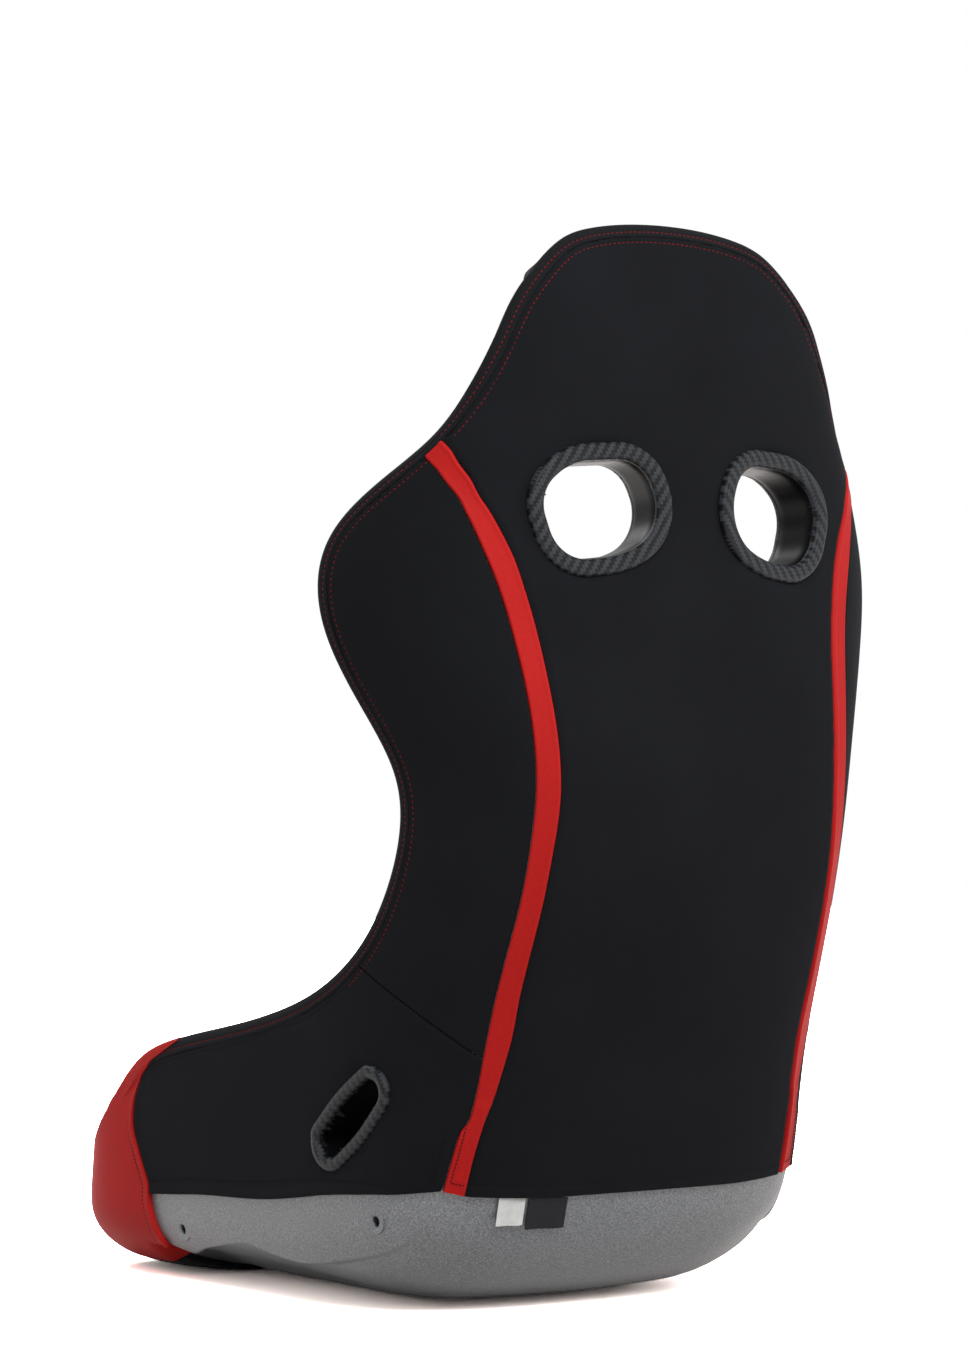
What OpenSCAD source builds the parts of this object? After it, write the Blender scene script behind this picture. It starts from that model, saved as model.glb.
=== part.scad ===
// Fixed-back bucket seat: a moulded tub with fabric covers outside, pads inside,
// belt openings with rings, and a threaded side mount.
// X is across the seat, Y runs from the knees to the back, Z is up from the floor.

/* [Seat] */
// Top of the head rest over the floor, mm
head_top = 873; // [865:1:882]
// Half of the width at the shoulder wings, mm
shoulder_half = 262; // [254:1:268]
// Half of the width at the waist, mm
waist_half = 202; // [198:1:206]
// Half of the width over the mounting sides, mm
side_half = 204; // [202:1:207]
// Front lip in front of the origin, mm
front_reach = 312; // [306:1:320]
/* [Walls] */
// Thickness of the moulded tub, mm
shell_wall = 4; // [3:0.5:5]
// Space between the tub and what lies on it, mm
seat_gap = 0.9; // [0.8:0.1:1.2]
// Thickness of the fabric covers with their backing, mm
cover_wall = 2.3; // [1.8:0.1:3]
// Width that the edge trim stands beyond the tub, mm
trim_reach = 1.5; // [0.5:0.5:4]
/* [Pads] */
// Thickness of the seat cushion, mm
cushion_thick = 46; // [36:1:52]
// Thickness of the back pads, mm
back_pad_thick = 30; // [24:1:36]
// Thickness of the head pad, mm
head_pad_thick = 32; // [24:1:38]
// Thickness of the side bolsters, mm
bolster_thick = 34; // [26:1:38]
// Space between neighbouring pads, in rows of the surface
pad_split = 0.12; // [0.1:0.02:0.2]
/* [Belt openings] */
// Centre of a shoulder opening from the middle, mm
belt_x = 88; // [84:1:92]
// Centre of a shoulder opening over the floor, mm
belt_z = 647; // [640:1:654]
// Turn of a shoulder opening away from straight back, degrees
belt_toe = 9; // [6:1:12]
// Lean of a shoulder opening towards the front, degrees
belt_lean = 3; // [0:1:5]
// Width of the flat of a ring, mm
ring_band = 14; // [11:1:16]
// Thickness of a ring, mm
ring_high = 6; // [4:0.5:8]
// Wall of the tunnel through an opening, mm
tunnel_wall = 2; // [1.5:0.5:3]
// Space round a tunnel, mm
tunnel_gap = 0.4; // [0.3:0.1:0.8]
// Centre of the crotch belt slot in front of the origin, mm
crotch_y = -118; // [-126:1:-110]
/* [Mounting] */
// Distance between the two holes of a side, mm
mount_pitch = 290; // [280:1:300]
// Rear mounting hole behind the origin, mm
rear_hole_y = 171; // [167:1:175]
// Rear mounting hole over the floor, mm
rear_hole_z = 78; // [75:1:81]
// Front hole's drop along the line of the holes, degrees
mount_tilt = 6.3; // [5:0.1:7]
// Radius of the M8 thread's wall in the nuts, mm
thread_r = 3.32; // [3.32:0.01:3.4]
// Radius of the clearance holes in the tub and the plates, mm
clear_r = 4.4; // [4.2:0.1:4.8]
// Thickness of the steel mounting plates, mm
plate_wall = 4; // [3:0.5:5]
// Height of the steel mounting plates, mm
plate_high = 22; // [20:1:24]
// Radius of the thickened ground round a hole, mm
boss_r = 10; // [8:0.5:10.5]
// Height of a weld nut, mm
nut_high = 8; // [6:0.5:9]
// Depth of the step under the side flanges, mm
tuck_deep = 12; // [8:1:15]
/* [Labels] */
// Width of the light label, mm
light_wide = 23.5; // [18:0.5:28]
// Width of the dark label, mm
dark_wide = 35; // [28:0.5:37]
// Length of both labels, mm
label_long = 26; // [22:0.5:27]
// Thickness of both labels, mm
label_wall = 0.8; // [0.5:0.1:1]
// Slant of both labels along the tub, degrees
label_lean = 18.5; // [16:0.5:20]
/* [Hidden] */

// ---- the outer face of the tub -------------------------------------------------
// A net of control points. Each row runs from the middle (m: y, z) to the rim (r: y, z).
// x are the half widths of its eight points, d their distances from the middle.
function row(m, r, x, d) = let (l = norm(r - m))
    [for (k = [0:7]) let (s = (k < 7 ? d[k] : l) / l) [x[k], m[0] + s * (r[0] - m[0]), m[1] + s * (r[1] - m[1])]];
hip_half = side_half + 6;
// heights of the head, which starts at 692 and ends at 873, drawn to the head's real top
function head_z(z) = 692 + (z - 692) * (head_top - 692) / 181;
rows = [
    // head
    row([284, head_z(873)], [286, head_z(831)], [0, 30, 57, 82, 98, 111, 121, 130], [0, 1, 4, 9, 15, 24, 33]),
    row([300, head_z(837)], [286, head_z(807)], [0, 34, 67, 98, 116, 131, 143, 151], [0, 1, 3, 7, 12, 19, 26]),
    row([310, head_z(796)], [284, head_z(779)], [0, 38, 75, 110, 130, 146, 157, 163], [0, 1, 3, 8, 14, 21, 27]),
    row([316, head_z(758)], [279, head_z(752)], [0, 44, 87, 126, 147, 163, 172, 175], [0, 1, 4, 11, 18, 26, 33]),
    row([318, head_z(725)], [270, head_z(726)], [0, 48, 96, 143, 165, 178, 184, 186], [0, 2, 7, 18, 27, 36, 43]),
    // shoulders
    row([320, 692], [256, 694], [0, 52, 104, 160, 184, 196, 201, 203], [0, 2, 8, 22, 32, 44, 54]),
    row([322, 660], [226, 662], [0, 54, 108, 166, 194, 215, 229, 235], [0, 3, 10, 26, 38, 58, 81]),
    row([323, 627], [188, 629], [0, 54, 108, 163, 195, shoulder_half - 35, shoulder_half - 15, shoulder_half - 9], [0, 3, 9, 23, 34, 61, 102]),
    row([326, 590], [174, 591], [0, 54, 108, 158, 192, shoulder_half - 31, shoulder_half - 7, shoulder_half - 2], [0, 2, 8, 19, 31, 61, 109]),
    row([332, 546], [176, 546], [0, 52, 104, 152, 186, shoulder_half - 38, shoulder_half - 14, shoulder_half - 8], [0, 2, 7, 17, 31, 62, 111]),
    row([339, 498], [190, 495], [0, 50, 100, 146, 178, 211, 229, 232], [0, 1, 5, 13, 28, 63, 108]),
    row([346, 445], [212, 440], [0, 50, 98, 142, 170, waist_half - 10, waist_half + 1, waist_half + 4], [0, 2, 6, 12, 30, 62, 95]),
    // waist and small of the back
    row([345, 390], [213, 392], [0, 50, 98, 142, 166, waist_half - 16, waist_half - 4, waist_half - 1], [0, 2, 6, 14, 33, 65, 97]),
    row([333, 328], [190, 337], [0, 50, 98, 144, 167, waist_half - 16, waist_half - 4, waist_half - 1], [0, 2, 6, 17, 36, 68, 106]),
    row([310, 262], [156, 291], [0, 50, 100, 150, 173, waist_half - 12, waist_half - 2, waist_half + 2], [0, 2, 6, 19, 38, 74, 121]),
    row([287, 195], [103, 256], [0, 52, 104, 155, 179, side_half - 7, side_half + 1, side_half + 4], [0, 2, 6, 20, 42, 86, 143]),
    row([266, 125], [41, 236], [0, 54, 108, 163, 190, side_half, side_half + 3, hip_half - 1], [0, 2, 7, 23, 42, 98, 180]),
    // under the hem and round to the pan
    row([242, 56], [-26, 222], [0, 56, 112, 178, side_half + 3, side_half + 2, side_half + 3, hip_half], [0, 2, 6, 26, 50, 122, 218]),
    row([194, 6], [-82, 213], [0, 58, 114, 180, side_half + 2, side_half + 1, side_half + 3, hip_half], [0, 2, 5, 19, 66, 146, 240]),
    row([86, -2.5], [-126, 204], [0, 58, 114, 177, side_half + 2, side_half, side_half + 3, hip_half], [0, 2, 5, 13, 50, 128, 210]),
    row([-2, -2.5], [-158, 194], [0, 58, 114, 176, side_half + 2, side_half, side_half + 3, hip_half], [0, 2, 8, 18, 48, 112, 182]),
    row([-77, -2.5], [-186, 180], [0, 58, 114, 176, side_half + 2, side_half, side_half + 2, side_half + 3], [0, 1, 6, 16, 44, 98, 160]),
    row([-141, 2], [-210, 161], [0, 58, 112, 174, side_half + 1, side_half, side_half + 1, side_half + 1], [0, 1, 4, 11, 38, 86, 136]),
    // front lip
    row([-196, 4], [-237, 139], [0, 58, 112, 168, 202, 203, 203, 202], [0, 0, 2, 7, 36, 72, 110]),
    row([-248, 5], [-258, 115], [0, 58, 112, 163, 195, 199, 199, 198], [0, 0, 2, 6, 34, 62, 88]),
    row([24 - front_reach, 9], [-270, 96], [0, 58, 112, 159, 186, 191, 191, 189], [0, 1, 3, 8, 29, 50, 70]),
    row([5 - front_reach, 29], [-279, 83], [0, 58, 112, 152, 174, 180, 181, 179], [0, 1, 4, 10, 22, 34, 46]),
    row([2 - front_reach, 62], [-282, 77], [0, 58, 112, 147, 165, 169, 170, 168], [0, 1, 3, 7, 12, 18, 24])];
last_row = len(rows) - 1;
rim = 7;

function flip_x(p) = [-p[0], p[1], p[2]];
function net(i, j) = j < 0 ? flip_x(net(i, -j))
    : j > rim ? 2 * net(i, rim) - net(i, 2 * rim - j)
    : i < 0 ? 2 * net(0, j) - net(-i, j)
    : i > last_row ? 2 * net(last_row, j) - net(2 * last_row - i, j)
    : rows[i][j];
cells = [for (i = [0:last_row - 1]) [for (j = [0:rim - 1])
    [for (c = [0:2]) [for (a = [-1:2]) [for (b = [-1:2]) net(i + a, j + b)[c]]]]]];
function blend(t) = [pow(1 - t, 3), 3 * pow(t, 3) - 6 * t * t + 4, -3 * pow(t, 3) + 3 * t * t + 3 * t + 1, pow(t, 3)] / 6;
function slope(t) = [-pow(1 - t, 2), 3 * t * t - 4 * t, -3 * t * t + 2 * t + 1, t * t] / 2;
function unit(v) = v / norm(v);
// the surface's point at row u and column v, for v from 0 to the rim
function spot(u, v, a, b) = let (i = min(floor(u), last_row - 1), j = min(floor(v), rim - 1))
    [for (c = [0:2]) (a == 1 ? slope(u - i) : blend(u - i)) * cells[i][j][c] * (b == 1 ? slope(v - j) : blend(v - j))];
// its outward normal, read just inside the rim, where both directions still differ
function outward(u, v) = let (a = max(u, 0.15), b = min(v, rim - 0.15)) unit(cross(spot(a, b, 0, 1), spot(a, b, 1, 0)));
// The side flanges end in an edge, under which the tub steps inwards. The edge's column at row u:
function edge_v(u) = lookup(u, [[0, 3.85], [16.5, 3.85], [17.1, 3.45], [17.35, 3.48], [17.75, 3.7], [18.2, 3.85], [19, 3.87],
    [19.45, 4.02], [19.75, 4.12], [20, 4.08], [20.5, 3.93], [21, 3.75], [21.5, 3.5], [21.8, 3.6], [22.6, 3.85], [27, 3.85]]);
// the step is shallower at the rear
function tuck(u, v) = tuck_deep * (0.4 + 0.6 * ease((u - 18) / 1.5)) * ease((edge_v(u) - v) / 0.32) * ease((v - 1.8) / 1.1)
    * ease((u - 16.9) / 0.6) * ease((22.6 - u) / 0.7);
// point at row u and column v, moved outwards by o
function at(u, v, o) = let (w = abs(v), q = spot(u, w, 0, 0) + (o - tuck(u, w)) * outward(u, w)) v < 0 ? flip_x(q) : q;
function floor_cut(p, low) = [p[0], p[1], max(p[2], low)];
function ease(t) = let (s = min(1, max(0, t))) s * s * (3 - 2 * s);

// ---- seams, as columns against rows and rows against columns --------------------
function stripe_in(u) = lookup(u, [[5, 5.9], [5.15, 5.3], [5.34, 4.8], [5.6, 4.37], [5.85, 4.05], [6.3, 3.72], [6.8, 3.44],
    [7.2, 3.28], [8, 3.1], [9, 3], [11.3, 2.96], [12.5, 3.05], [14, 3.02], [14.8, 2.91], [16.5, 2.93]]);
function stripe_out(u) = lookup(u, [[5, 6.85], [5.1, 6.7], [5.42, 6], [5.6, 5.4], [5.75, 5], [6, 4.62], [6.3, 4.28], [7.1, 3.9],
    [7.8, 3.7], [8.5, 3.56], [9.3, 3.5], [11, 3.51], [12.8, 3.59], [14.3, 3.5], [15.4, 3.31], [16, 3.4], [16.5, 3.32]]);
stripe_top = 5;
stripe_end = 16.5;
back_hem = 16.4;
// the slanted seam between the side covers, from the stripe to the rim
function panel_seam(t) = 14.86 - 0.68 * t;
function side_hem(u) = lookup(u, [[16.5, 3.36], [16.62, 3.68], [16.93, 4.23], [17.3, 4.58], [17.7, 4.78], [18.1, 4.86], [19, 4.88],
    [20.3, 4.87], [21.6, 4.82], [23, 4.8]]);
function cap_edge(v) = lookup(v, [[3.1, 22.1], [3.7, 22], [4.2, 21.97], [4.7, 21.9], [5, 21.8], [5.4, 21.84], [5.9, 21.86],
    [6.36, 21.67], [6.69, 21.15], [7, 20.5]]);

// ---- solids between two point grids ---------------------------------------------
function two(a, b, c, d, other) = other ? [[a, b, c], [a, c, d]] : [[a, b, d], [b, c, d]];
module slab(out, in, both = false) {
    m = len(out) - 1;
    n = len(out[0]) - 1;
    k = (m + 1) * (n + 1);
    function id(i, j) = i * (n + 1) + j;
    function turned(j) = !both || j >= n / 2;
    faces = [
        for (i = [0:m - 1]) for (j = [0:n - 1])
            each two(id(i, j), id(i + 1, j), id(i + 1, j + 1), id(i, j + 1), turned(j)),
        for (i = [0:m - 1]) for (j = [0:n - 1])
            each [for (f = two(id(i, j), id(i + 1, j), id(i + 1, j + 1), id(i, j + 1), turned(j))) [k + f[0], k + f[2], k + f[1]]],
        for (j = [0:n - 1]) each two(id(0, j), id(0, j + 1), k + id(0, j + 1), k + id(0, j), true),
        for (j = [0:n - 1]) each two(id(m, j + 1), id(m, j), k + id(m, j), k + id(m, j + 1), true),
        for (i = [0:m - 1]) each two(id(i + 1, 0), id(i, 0), k + id(i, 0), k + id(i + 1, 0), true),
        for (i = [0:m - 1]) each two(id(i, n), id(i + 1, n), k + id(i + 1, n), k + id(i, n), true)];
    polyhedron(points = concat([for (r = out) each r], [for (r = in) each r]), faces = faces, convexity = 8);
}
// rows and columns that the tub and the pads share, closer together round the corners
half_columns = [0, 1, 1.9, 2.6, 3.2, 3.52, 3.83, 4.25, 4.85, 5.5, 6.2, rim];
columns = concat([for (k = [len(half_columns) - 1:-1:1]) -half_columns[k]], half_columns);
row_step = 0.62;
function between(lines, low, high) = concat([low], [for (q = lines) if (q > low + 0.08 && q < high - 0.08) q], [high]);
// columns from 2.6 to 4.85 shift along with the flange's edge
function shift(u, v) = let (w = abs(v), s = (edge_v(u) - 3.83) * min(1, max(0, min((w - 2.6) / 1.23, (4.85 - w) / 1.02))))
    v < 0 ? v - s : v + s;
seat_row = 28 * row_step;
function shared_rows(low, high) = between([for (k = [0:60]) k * row_step], low, high);
// a grid of m by n steps whose points are f(s, t), s and t from 0 to 1
function steps(n) = [for (i = [0:n]) i / n];
cover_in = seat_gap;
cover_out = seat_gap + cover_wall;

// ---- outlines with rounded corners -----------------------------------------------
function bend(p0, p1, p2, r, n) = let (
    a = unit(p0 - p1), b = unit(p2 - p1), h = acos(a * b) / 2, c = p1 + unit(a + b) * r / sin(h),
    t0 = p1 + a * r / tan(h) - c, t1 = p1 + b * r / tan(h) - c,
    a0 = atan2(t0[1], t0[0]), turn = (atan2(t1[1], t1[0]) - a0 + 540) % 360 - 180)
    [for (i = [0:n]) c + r * [cos(a0 + turn * i / n), sin(a0 + turn * i / n)]];
// corners are [x, y, radius]; the outline is drawn in by d on every side
function outline(c, d, n = 6) = let (
    k = len(c), p = [for (q = c) [q[0], q[1]]],
    s = [for (i = [0:k - 1]) let (a = unit(p[(i + k - 1) % k] - p[i]), b = unit(p[(i + 1) % k] - p[i]))
        p[i] + unit(a + b) * d / sin(acos(a * b) / 2)])
    [for (i = [0:k - 1]) each bend(s[(i + k - 1) % k], s[i], s[(i + 1) % k], max(c[i][2] - d, 2), n)];
module prism(c, d, low, high) translate([0, 0, low]) linear_extrude(high - low) polygon(outline(c, d));
module tube(c, d_out, d_in, low, high) translate([0, 0, low]) linear_extrude(high - low)
    difference() { polygon(outline(c, d_out)); polygon(outline(c, d_in)); }
// a ring with a stepped round back, its flat side at low
module ring(c, band, low, high) {
    tube(c, 0, band, low, low + (high - low) * 0.55);
    tube(c, 0.9, band - 0.7, low + (high - low) * 0.55, low + (high - low) * 0.85);
    tube(c, 2.4, band - 2, low + (high - low) * 0.85, high);
}

// ---- belt openings -----------------------------------------------------------------
shoulder_hole = [[31, 46, 66], [-46, 51, 44], [-77, -27, 50], [-17, -55, 96], [49, -62, 46], [73, 12, 43]];
lap_hole = [[18, 45, 13], [-19, 21, 186], [-52, -11, 13], [-51, -66, 24], [17, -18, 190], [67, 36, 21]];
crotch_hole = [[52, 27, 22], [-52, 27, 22], [-52, -27, 22], [52, -27, 22]];
shoulder_face = 322;
shoulder_deep = ring_high + shell_wall + back_pad_thick + 2;
lap_x = hip_half + 0.4;
lap_y = 145;
lap_z = 158;
lap_toe = 4;
lap_deep = shell_wall + bolster_thick + 12;
crotch_deep = cushion_thick + shell_wall + 6;
// local z points out of the back; x away from the middle is kept by mirroring
module at_shoulder() translate([belt_x, shoulder_face, belt_z]) rotate([0, 0, -belt_toe]) rotate([90 + belt_lean, 0, 0]) mirror([0, 0, 1]) children();
module at_lap() translate([lap_x, lap_y, lap_z]) rotate([0, 0, lap_toe]) rotate([90, 0, 90]) children();
module at_crotch() translate([0, crotch_y, 0]) children();
module right() mirror([1, 0, 0]) children();
module shoulder_cut() at_shoulder() prism(shoulder_hole, ring_band - tunnel_wall - tunnel_gap, -120, 30);
module shoulder_seat() at_shoulder() prism(shoulder_hole, -0.5, -ring_high - 0.3, 30);
module front_seat() at_shoulder() prism(shoulder_hole, -0.5, -shoulder_deep - ring_high - 30, -shoulder_deep + 0.3);
module lap_seat() at_lap() prism(lap_hole, -0.5, -ring_high - 0.3, 30);
module inner_seat() at_lap() prism(lap_hole, -0.5, -lap_deep - ring_high - 30, -lap_deep + 0.3);
module lap_cut() at_lap() prism(lap_hole, ring_band - 3 - tunnel_wall - tunnel_gap, -90, 30);
module crotch_cut() at_crotch() prism(crotch_hole, 8 - tunnel_wall - tunnel_gap, -10, 120);

// ---- mounting -------------------------------------------------------------------------
plate_x = side_half - shell_wall - 9;
module at_mount() translate([0, rear_hole_y, rear_hole_z]) rotate([mount_tilt, 0, 0]) children();
module mount_holes(r, low, high) at_mount() for (y = [0, -mount_pitch])
    translate([low, y, 0]) rotate([0, 90, 0]) cylinder(r = r, h = high - low, $fn = 48);
module mount_space() at_mount() translate([plate_x - plate_wall - nut_high - 3, -mount_pitch - 26, -plate_high / 2 - 3])
    cube([plate_wall + nut_high + 12, mount_pitch + 52, plate_high + 6]);

// ---- tub ---------------------------------------------------------------------------------
tub_end = 26;
// thickened ground of the tub between a plate and the side, at both holes
module bosses() at_mount() for (y = [0, -mount_pitch])
    translate([plate_x, y, 0]) rotate([0, 90, 0]) cylinder(r = boss_r, h = side_half - shell_wall / 2 - 0.5 - plate_x, $fn = 48);
module shell() color("#80878a") difference() {
    union() {
        slab([for (u = shared_rows(0, tub_end)) [for (v = columns) floor_cut(at(u, shift(u, v), 0), 0)]],
             [for (u = shared_rows(0, tub_end)) [for (v = columns) at(u, shift(u, v), -shell_wall)]], true);
        bosses();
        right() bosses();
    }
    shoulder_cut(); right() shoulder_cut();
    shoulder_seat(); right() shoulder_seat();
    lap_cut(); right() lap_cut();
    crotch_cut();
    mount_holes(clear_r, side_half - 20, side_half + 20);
    right() mount_holes(clear_r, side_half - 20, side_half + 20);
}

// ---- covers ----------------------------------------------------------------------------------
function cover_grid(m, n, o, f) = [for (s = steps(m)) [for (t = steps(n)) let (q = f(s, t)) at(q[0], q[1], o)]];
module cover(m, n, f, both = false) slab(cover_grid(m, n, cover_out, f), cover_grid(m, n, cover_in, f), both);
function back_rows() = [for (i = [0:8]) i * 4.94 / 8, for (i = [0:18]) 5.02 + pow(i / 18, 1.4) * (back_hem - 5.02)];
function back_edge(u) = u < 5 ? rim : stripe_in(u) - 0.04;
module back_cover() color("#1c1c1f") difference() {
    slab([for (u = back_rows()) [for (t = steps(14)) at(u, (2 * t - 1) * back_edge(u), cover_out)]],
         [for (u = back_rows()) [for (t = steps(14)) at(u, (2 * t - 1) * back_edge(u), cover_in)]], true);
    shoulder_seat(); right() shoulder_seat();
    shoulder_cut(); right() shoulder_cut();
}
module upper_side_left() color("#202023") cover(20, 6, function (s, t)
    let (u = 5.12 + pow(s, 1.4) * (panel_seam(t) - 0.03 - 5.12), v = stripe_out(u) + 0.06) [u, v + t * (rim - v)]);
module lower_side_left() color("#1e1e21") difference() {
    cover(20, 8, function (s, t)
        let (u = panel_seam(t) + 0.03 + s * (cap_edge(4.8 + 2.2 * t) - 0.05 - panel_seam(t) - 0.03),
             v = (u < stripe_end ? stripe_out(u) : side_hem(u)) + 0.05) [u, v + t * (rim - v)]);
    lap_cut();
    lap_seat();
}
module stripe_left() color("#b4262a") cover(28, 2, function (s, t)
    let (u = stripe_top + pow(s, 1.4) * (stripe_end - 0.2 * (1 - t) - stripe_top), v = stripe_in(u) + 0.04)
    [u, v + t * (stripe_out(u) - 0.04 - v)]);
function cap_out(u) = cover_out + 8 * ease((u - 21.7) / 2) * (1 - 0.65 * ease((u - 24.3) / 2));
function cap_uv(s, t) = let (v = 3.15 + (rim - 3.15) * t, u = cap_edge(v) + s * (last_row - cap_edge(v))) [u, v];
module front_cap_left() color("#b4262a")
    slab([for (s = steps(11)) [for (t = steps(9)) let (q = cap_uv(s, t)) floor_cut(at(q[0], q[1], cap_out(q[0])), 1)]],
         [for (s = steps(11)) [for (t = steps(9)) let (q = cap_uv(s, t)) at(q[0], q[1], cover_in)]]);
module underside_flap() color("#19191b")
    slab([for (u = [22.3:0.47:27]) [for (t = steps(8)) floor_cut(at(u, -3.05 + 6.1 * t, cap_out(u) - 0.8), 0.6)]],
         [for (u = [22.3:0.47:27]) [for (t = steps(8)) at(u, -3.05 + 6.1 * t, cover_in)]], true);

// ---- trim along the rim ------------------------------------------------------------------------
trim_side = [for (i = [0:36]) [tub_end - 0.1 - i * (tub_end - 0.4) / 36, rim]];
trim_top = [for (i = [0:12]) [0, 6.6 - i * 13.2 / 12]];
trim_path = concat(trim_side, trim_top, [for (i = [36:-1:0]) [trim_side[i][0], -rim]]);
trim_line = [for (q = trim_path) at(q[0], q[1], 0)];
trim_out = [for (q = trim_path) at(q[0], q[1], 1) - at(q[0], q[1], 0)];
// direction that leads past the rim, square to the rim's run
function rim_way(k) = let (n = len(trim_path) - 1, run = trim_line[min(k + 1, n)] - trim_line[max(k - 1, 0)])
    unit(cross(trim_out[k], run));
function rim_point(k, o, along) = trim_line[k] + o * trim_out[k] + along * rim_way(k);
trim_in = shell_wall + 9;
module edge_trim() {
    loops = [for (k = [0:len(trim_path) - 1]) [rim_point(k, cover_out, 0.6), rim_point(k, cover_out - 1.5, trim_reach),
        rim_point(k, -trim_in + 3, trim_reach), rim_point(k, -trim_in, 0.6)]];
    n = len(loops) - 1;
    function id(i, j) = i * 4 + j % 4;
    color("#141416") polyhedron(points = [for (l = loops) each l], faces = [
        for (i = [0:n - 1]) for (j = [0:3]) each two(id(i, j), id(i, j + 1), id(i + 1, j + 1), id(i + 1, j), true),
        [3, 2, 1], [3, 1, 0], [id(n, 0), id(n, 1), id(n, 2)], [id(n, 0), id(n, 2), id(n, 3)]], convexity = 8);
}

// ---- rings and tunnels ------------------------------------------------------------------------------
module shoulder_ring_left() color("#45484b") at_shoulder() ring(shoulder_hole, ring_band, -ring_high, 0);
module shoulder_tunnel_left() color("#101011") at_shoulder()
    tube(shoulder_hole, ring_band - tunnel_wall, ring_band, -shoulder_deep, -ring_high);
module shoulder_ring_front_left() color("#45484b") at_shoulder() mirror([0, 0, 1])
    ring(shoulder_hole, ring_band, shoulder_deep, shoulder_deep + ring_high);
module lap_ring_left() color("#45484b") at_lap() ring(lap_hole, ring_band - 3, -ring_high, 0);
module lap_tunnel_left() color("#101011") at_lap()
    tube(lap_hole, ring_band - 3 - tunnel_wall, ring_band - 3, -lap_deep, -ring_high);
module lap_ring_inner_left() color("#45484b") at_lap() mirror([0, 0, 1])
    ring(lap_hole, ring_band - 3, lap_deep, lap_deep + ring_high);
module crotch_ring() color("#45484b") at_crotch() ring(crotch_hole, 8, crotch_deep + 3, crotch_deep + 3 + ring_high);
module crotch_tunnel() color("#101011") at_crotch() tube(crotch_hole, 8 - tunnel_wall, 8, 0.5, crotch_deep + 3);

// ---- pads -----------------------------------------------------------------------------------------------
pad_in = shell_wall + seat_gap;
// a pad between rows u0 and u1 and columns v0 and v1, thin at its edge and full in its middle
module pad(u0, u1, v0, v1, edge, full, both = false) {
    function swell(s, t) = pow(max(0, sin(180 * s)), 0.45) * pow(max(0, sin(180 * t)), 0.45);
    function thick(u, v) = edge + (full - edge) * swell((u - u0) / (u1 - u0), (v - v0) / (v1 - v0));
    us = shared_rows(u0, u1);
    vs = between(columns, v0, v1);
    slab([for (u = us) [for (v = vs) at(u, shift(u, v), -pad_in)]],
         [for (u = us) [for (v = vs) at(u, shift(u, v), -pad_in - thick(u, v))]], both);
}
head_rows = [0.15, 4.5];
back_row = [head_rows[1] + pad_split, 11.9];
lumbar_row = [back_row[1] + pad_split, seat_row];
cushion_row = [lumbar_row[1] + pad_split, 23.3];
front_row = [cushion_row[1] + pad_split, last_row - 0.2];
module head_pad() color("#232327") pad(head_rows[0], head_rows[1], -6.8, 6.8, 12, head_pad_thick, true);
module upper_back_pad() color("#26262a") difference() {
    pad(back_row[0], back_row[1], -3.5, 3.5, 20, back_pad_thick, true);
    shoulder_cut(); right() shoulder_cut();
    front_seat(); right() front_seat();
}
module lumbar_pad() color("#26262a") pad(lumbar_row[0], lumbar_row[1], -3.5, 3.5, 20, back_pad_thick + 4, true);
module shoulder_bolster_left() color("#202024") pad(back_row[0], 10.3, 3.6, 6.85, 13, bolster_thick);
module waist_bolster_left() color("#202024") pad(10.3 + pad_split, 14.6, 3.6, 6.85, 13, bolster_thick);
module thigh_bolster_left() color("#202024") difference() {
    pad(14.6 + pad_split, last_row - 0.3, 3.95, 6.85, 13, bolster_thick + 4);
    lap_cut();
    inner_seat();
    mount_space();
}
module seat_cushion() color("#29292d") difference() {
    pad(cushion_row[0], cushion_row[1], -3.6, 3.6, 26, cushion_thick, true);
    crotch_cut();
}
module front_thigh_pad() color("#29292d") pad(front_row[0], front_row[1], -3.75, 3.75, 22, 34, true);

// ---- mounting plates and nuts ---------------------------------------------------------------------------------
module mount_plate_left() color("#9a9ea3") difference() {
    at_mount() translate([plate_x - plate_wall, -mount_pitch - 12, -plate_high / 2]) cube([plate_wall, mount_pitch + 24, plate_high]);
    mount_holes(clear_r, plate_x - plate_wall - 1, plate_x + 1);
}
module nut_pair() difference() {
    at_mount() for (y = [0, -mount_pitch]) translate([plate_x - plate_wall - nut_high, y, 0]) rotate([0, 90, 0])
        cylinder(r = 7.5, h = nut_high, $fn = 6);
    mount_holes(thread_r, plate_x - plate_wall - nut_high - 1, plate_x - plate_wall + 1);
}
module mount_nut() color("#b0b3b7") { nut_pair(); right() nut_pair(); }

// ---- blank labels that hang from the back hem -----------------------------------------------------------------------
// they lie close over the tub and end between it and the hem
module label(x, y, low, wide, turn) translate([x, y, low]) rotate([0, 0, -turn]) rotate([-label_lean, 0, 0])
    cube([wide, label_wall, label_long]);
module label_light() color("#e8e8e6") label(109, 240.7, 76, light_wide, 10);
module label_dark() color("#1b1b1d") label(71, 245, 72, dark_wide, 8.5);

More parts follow.
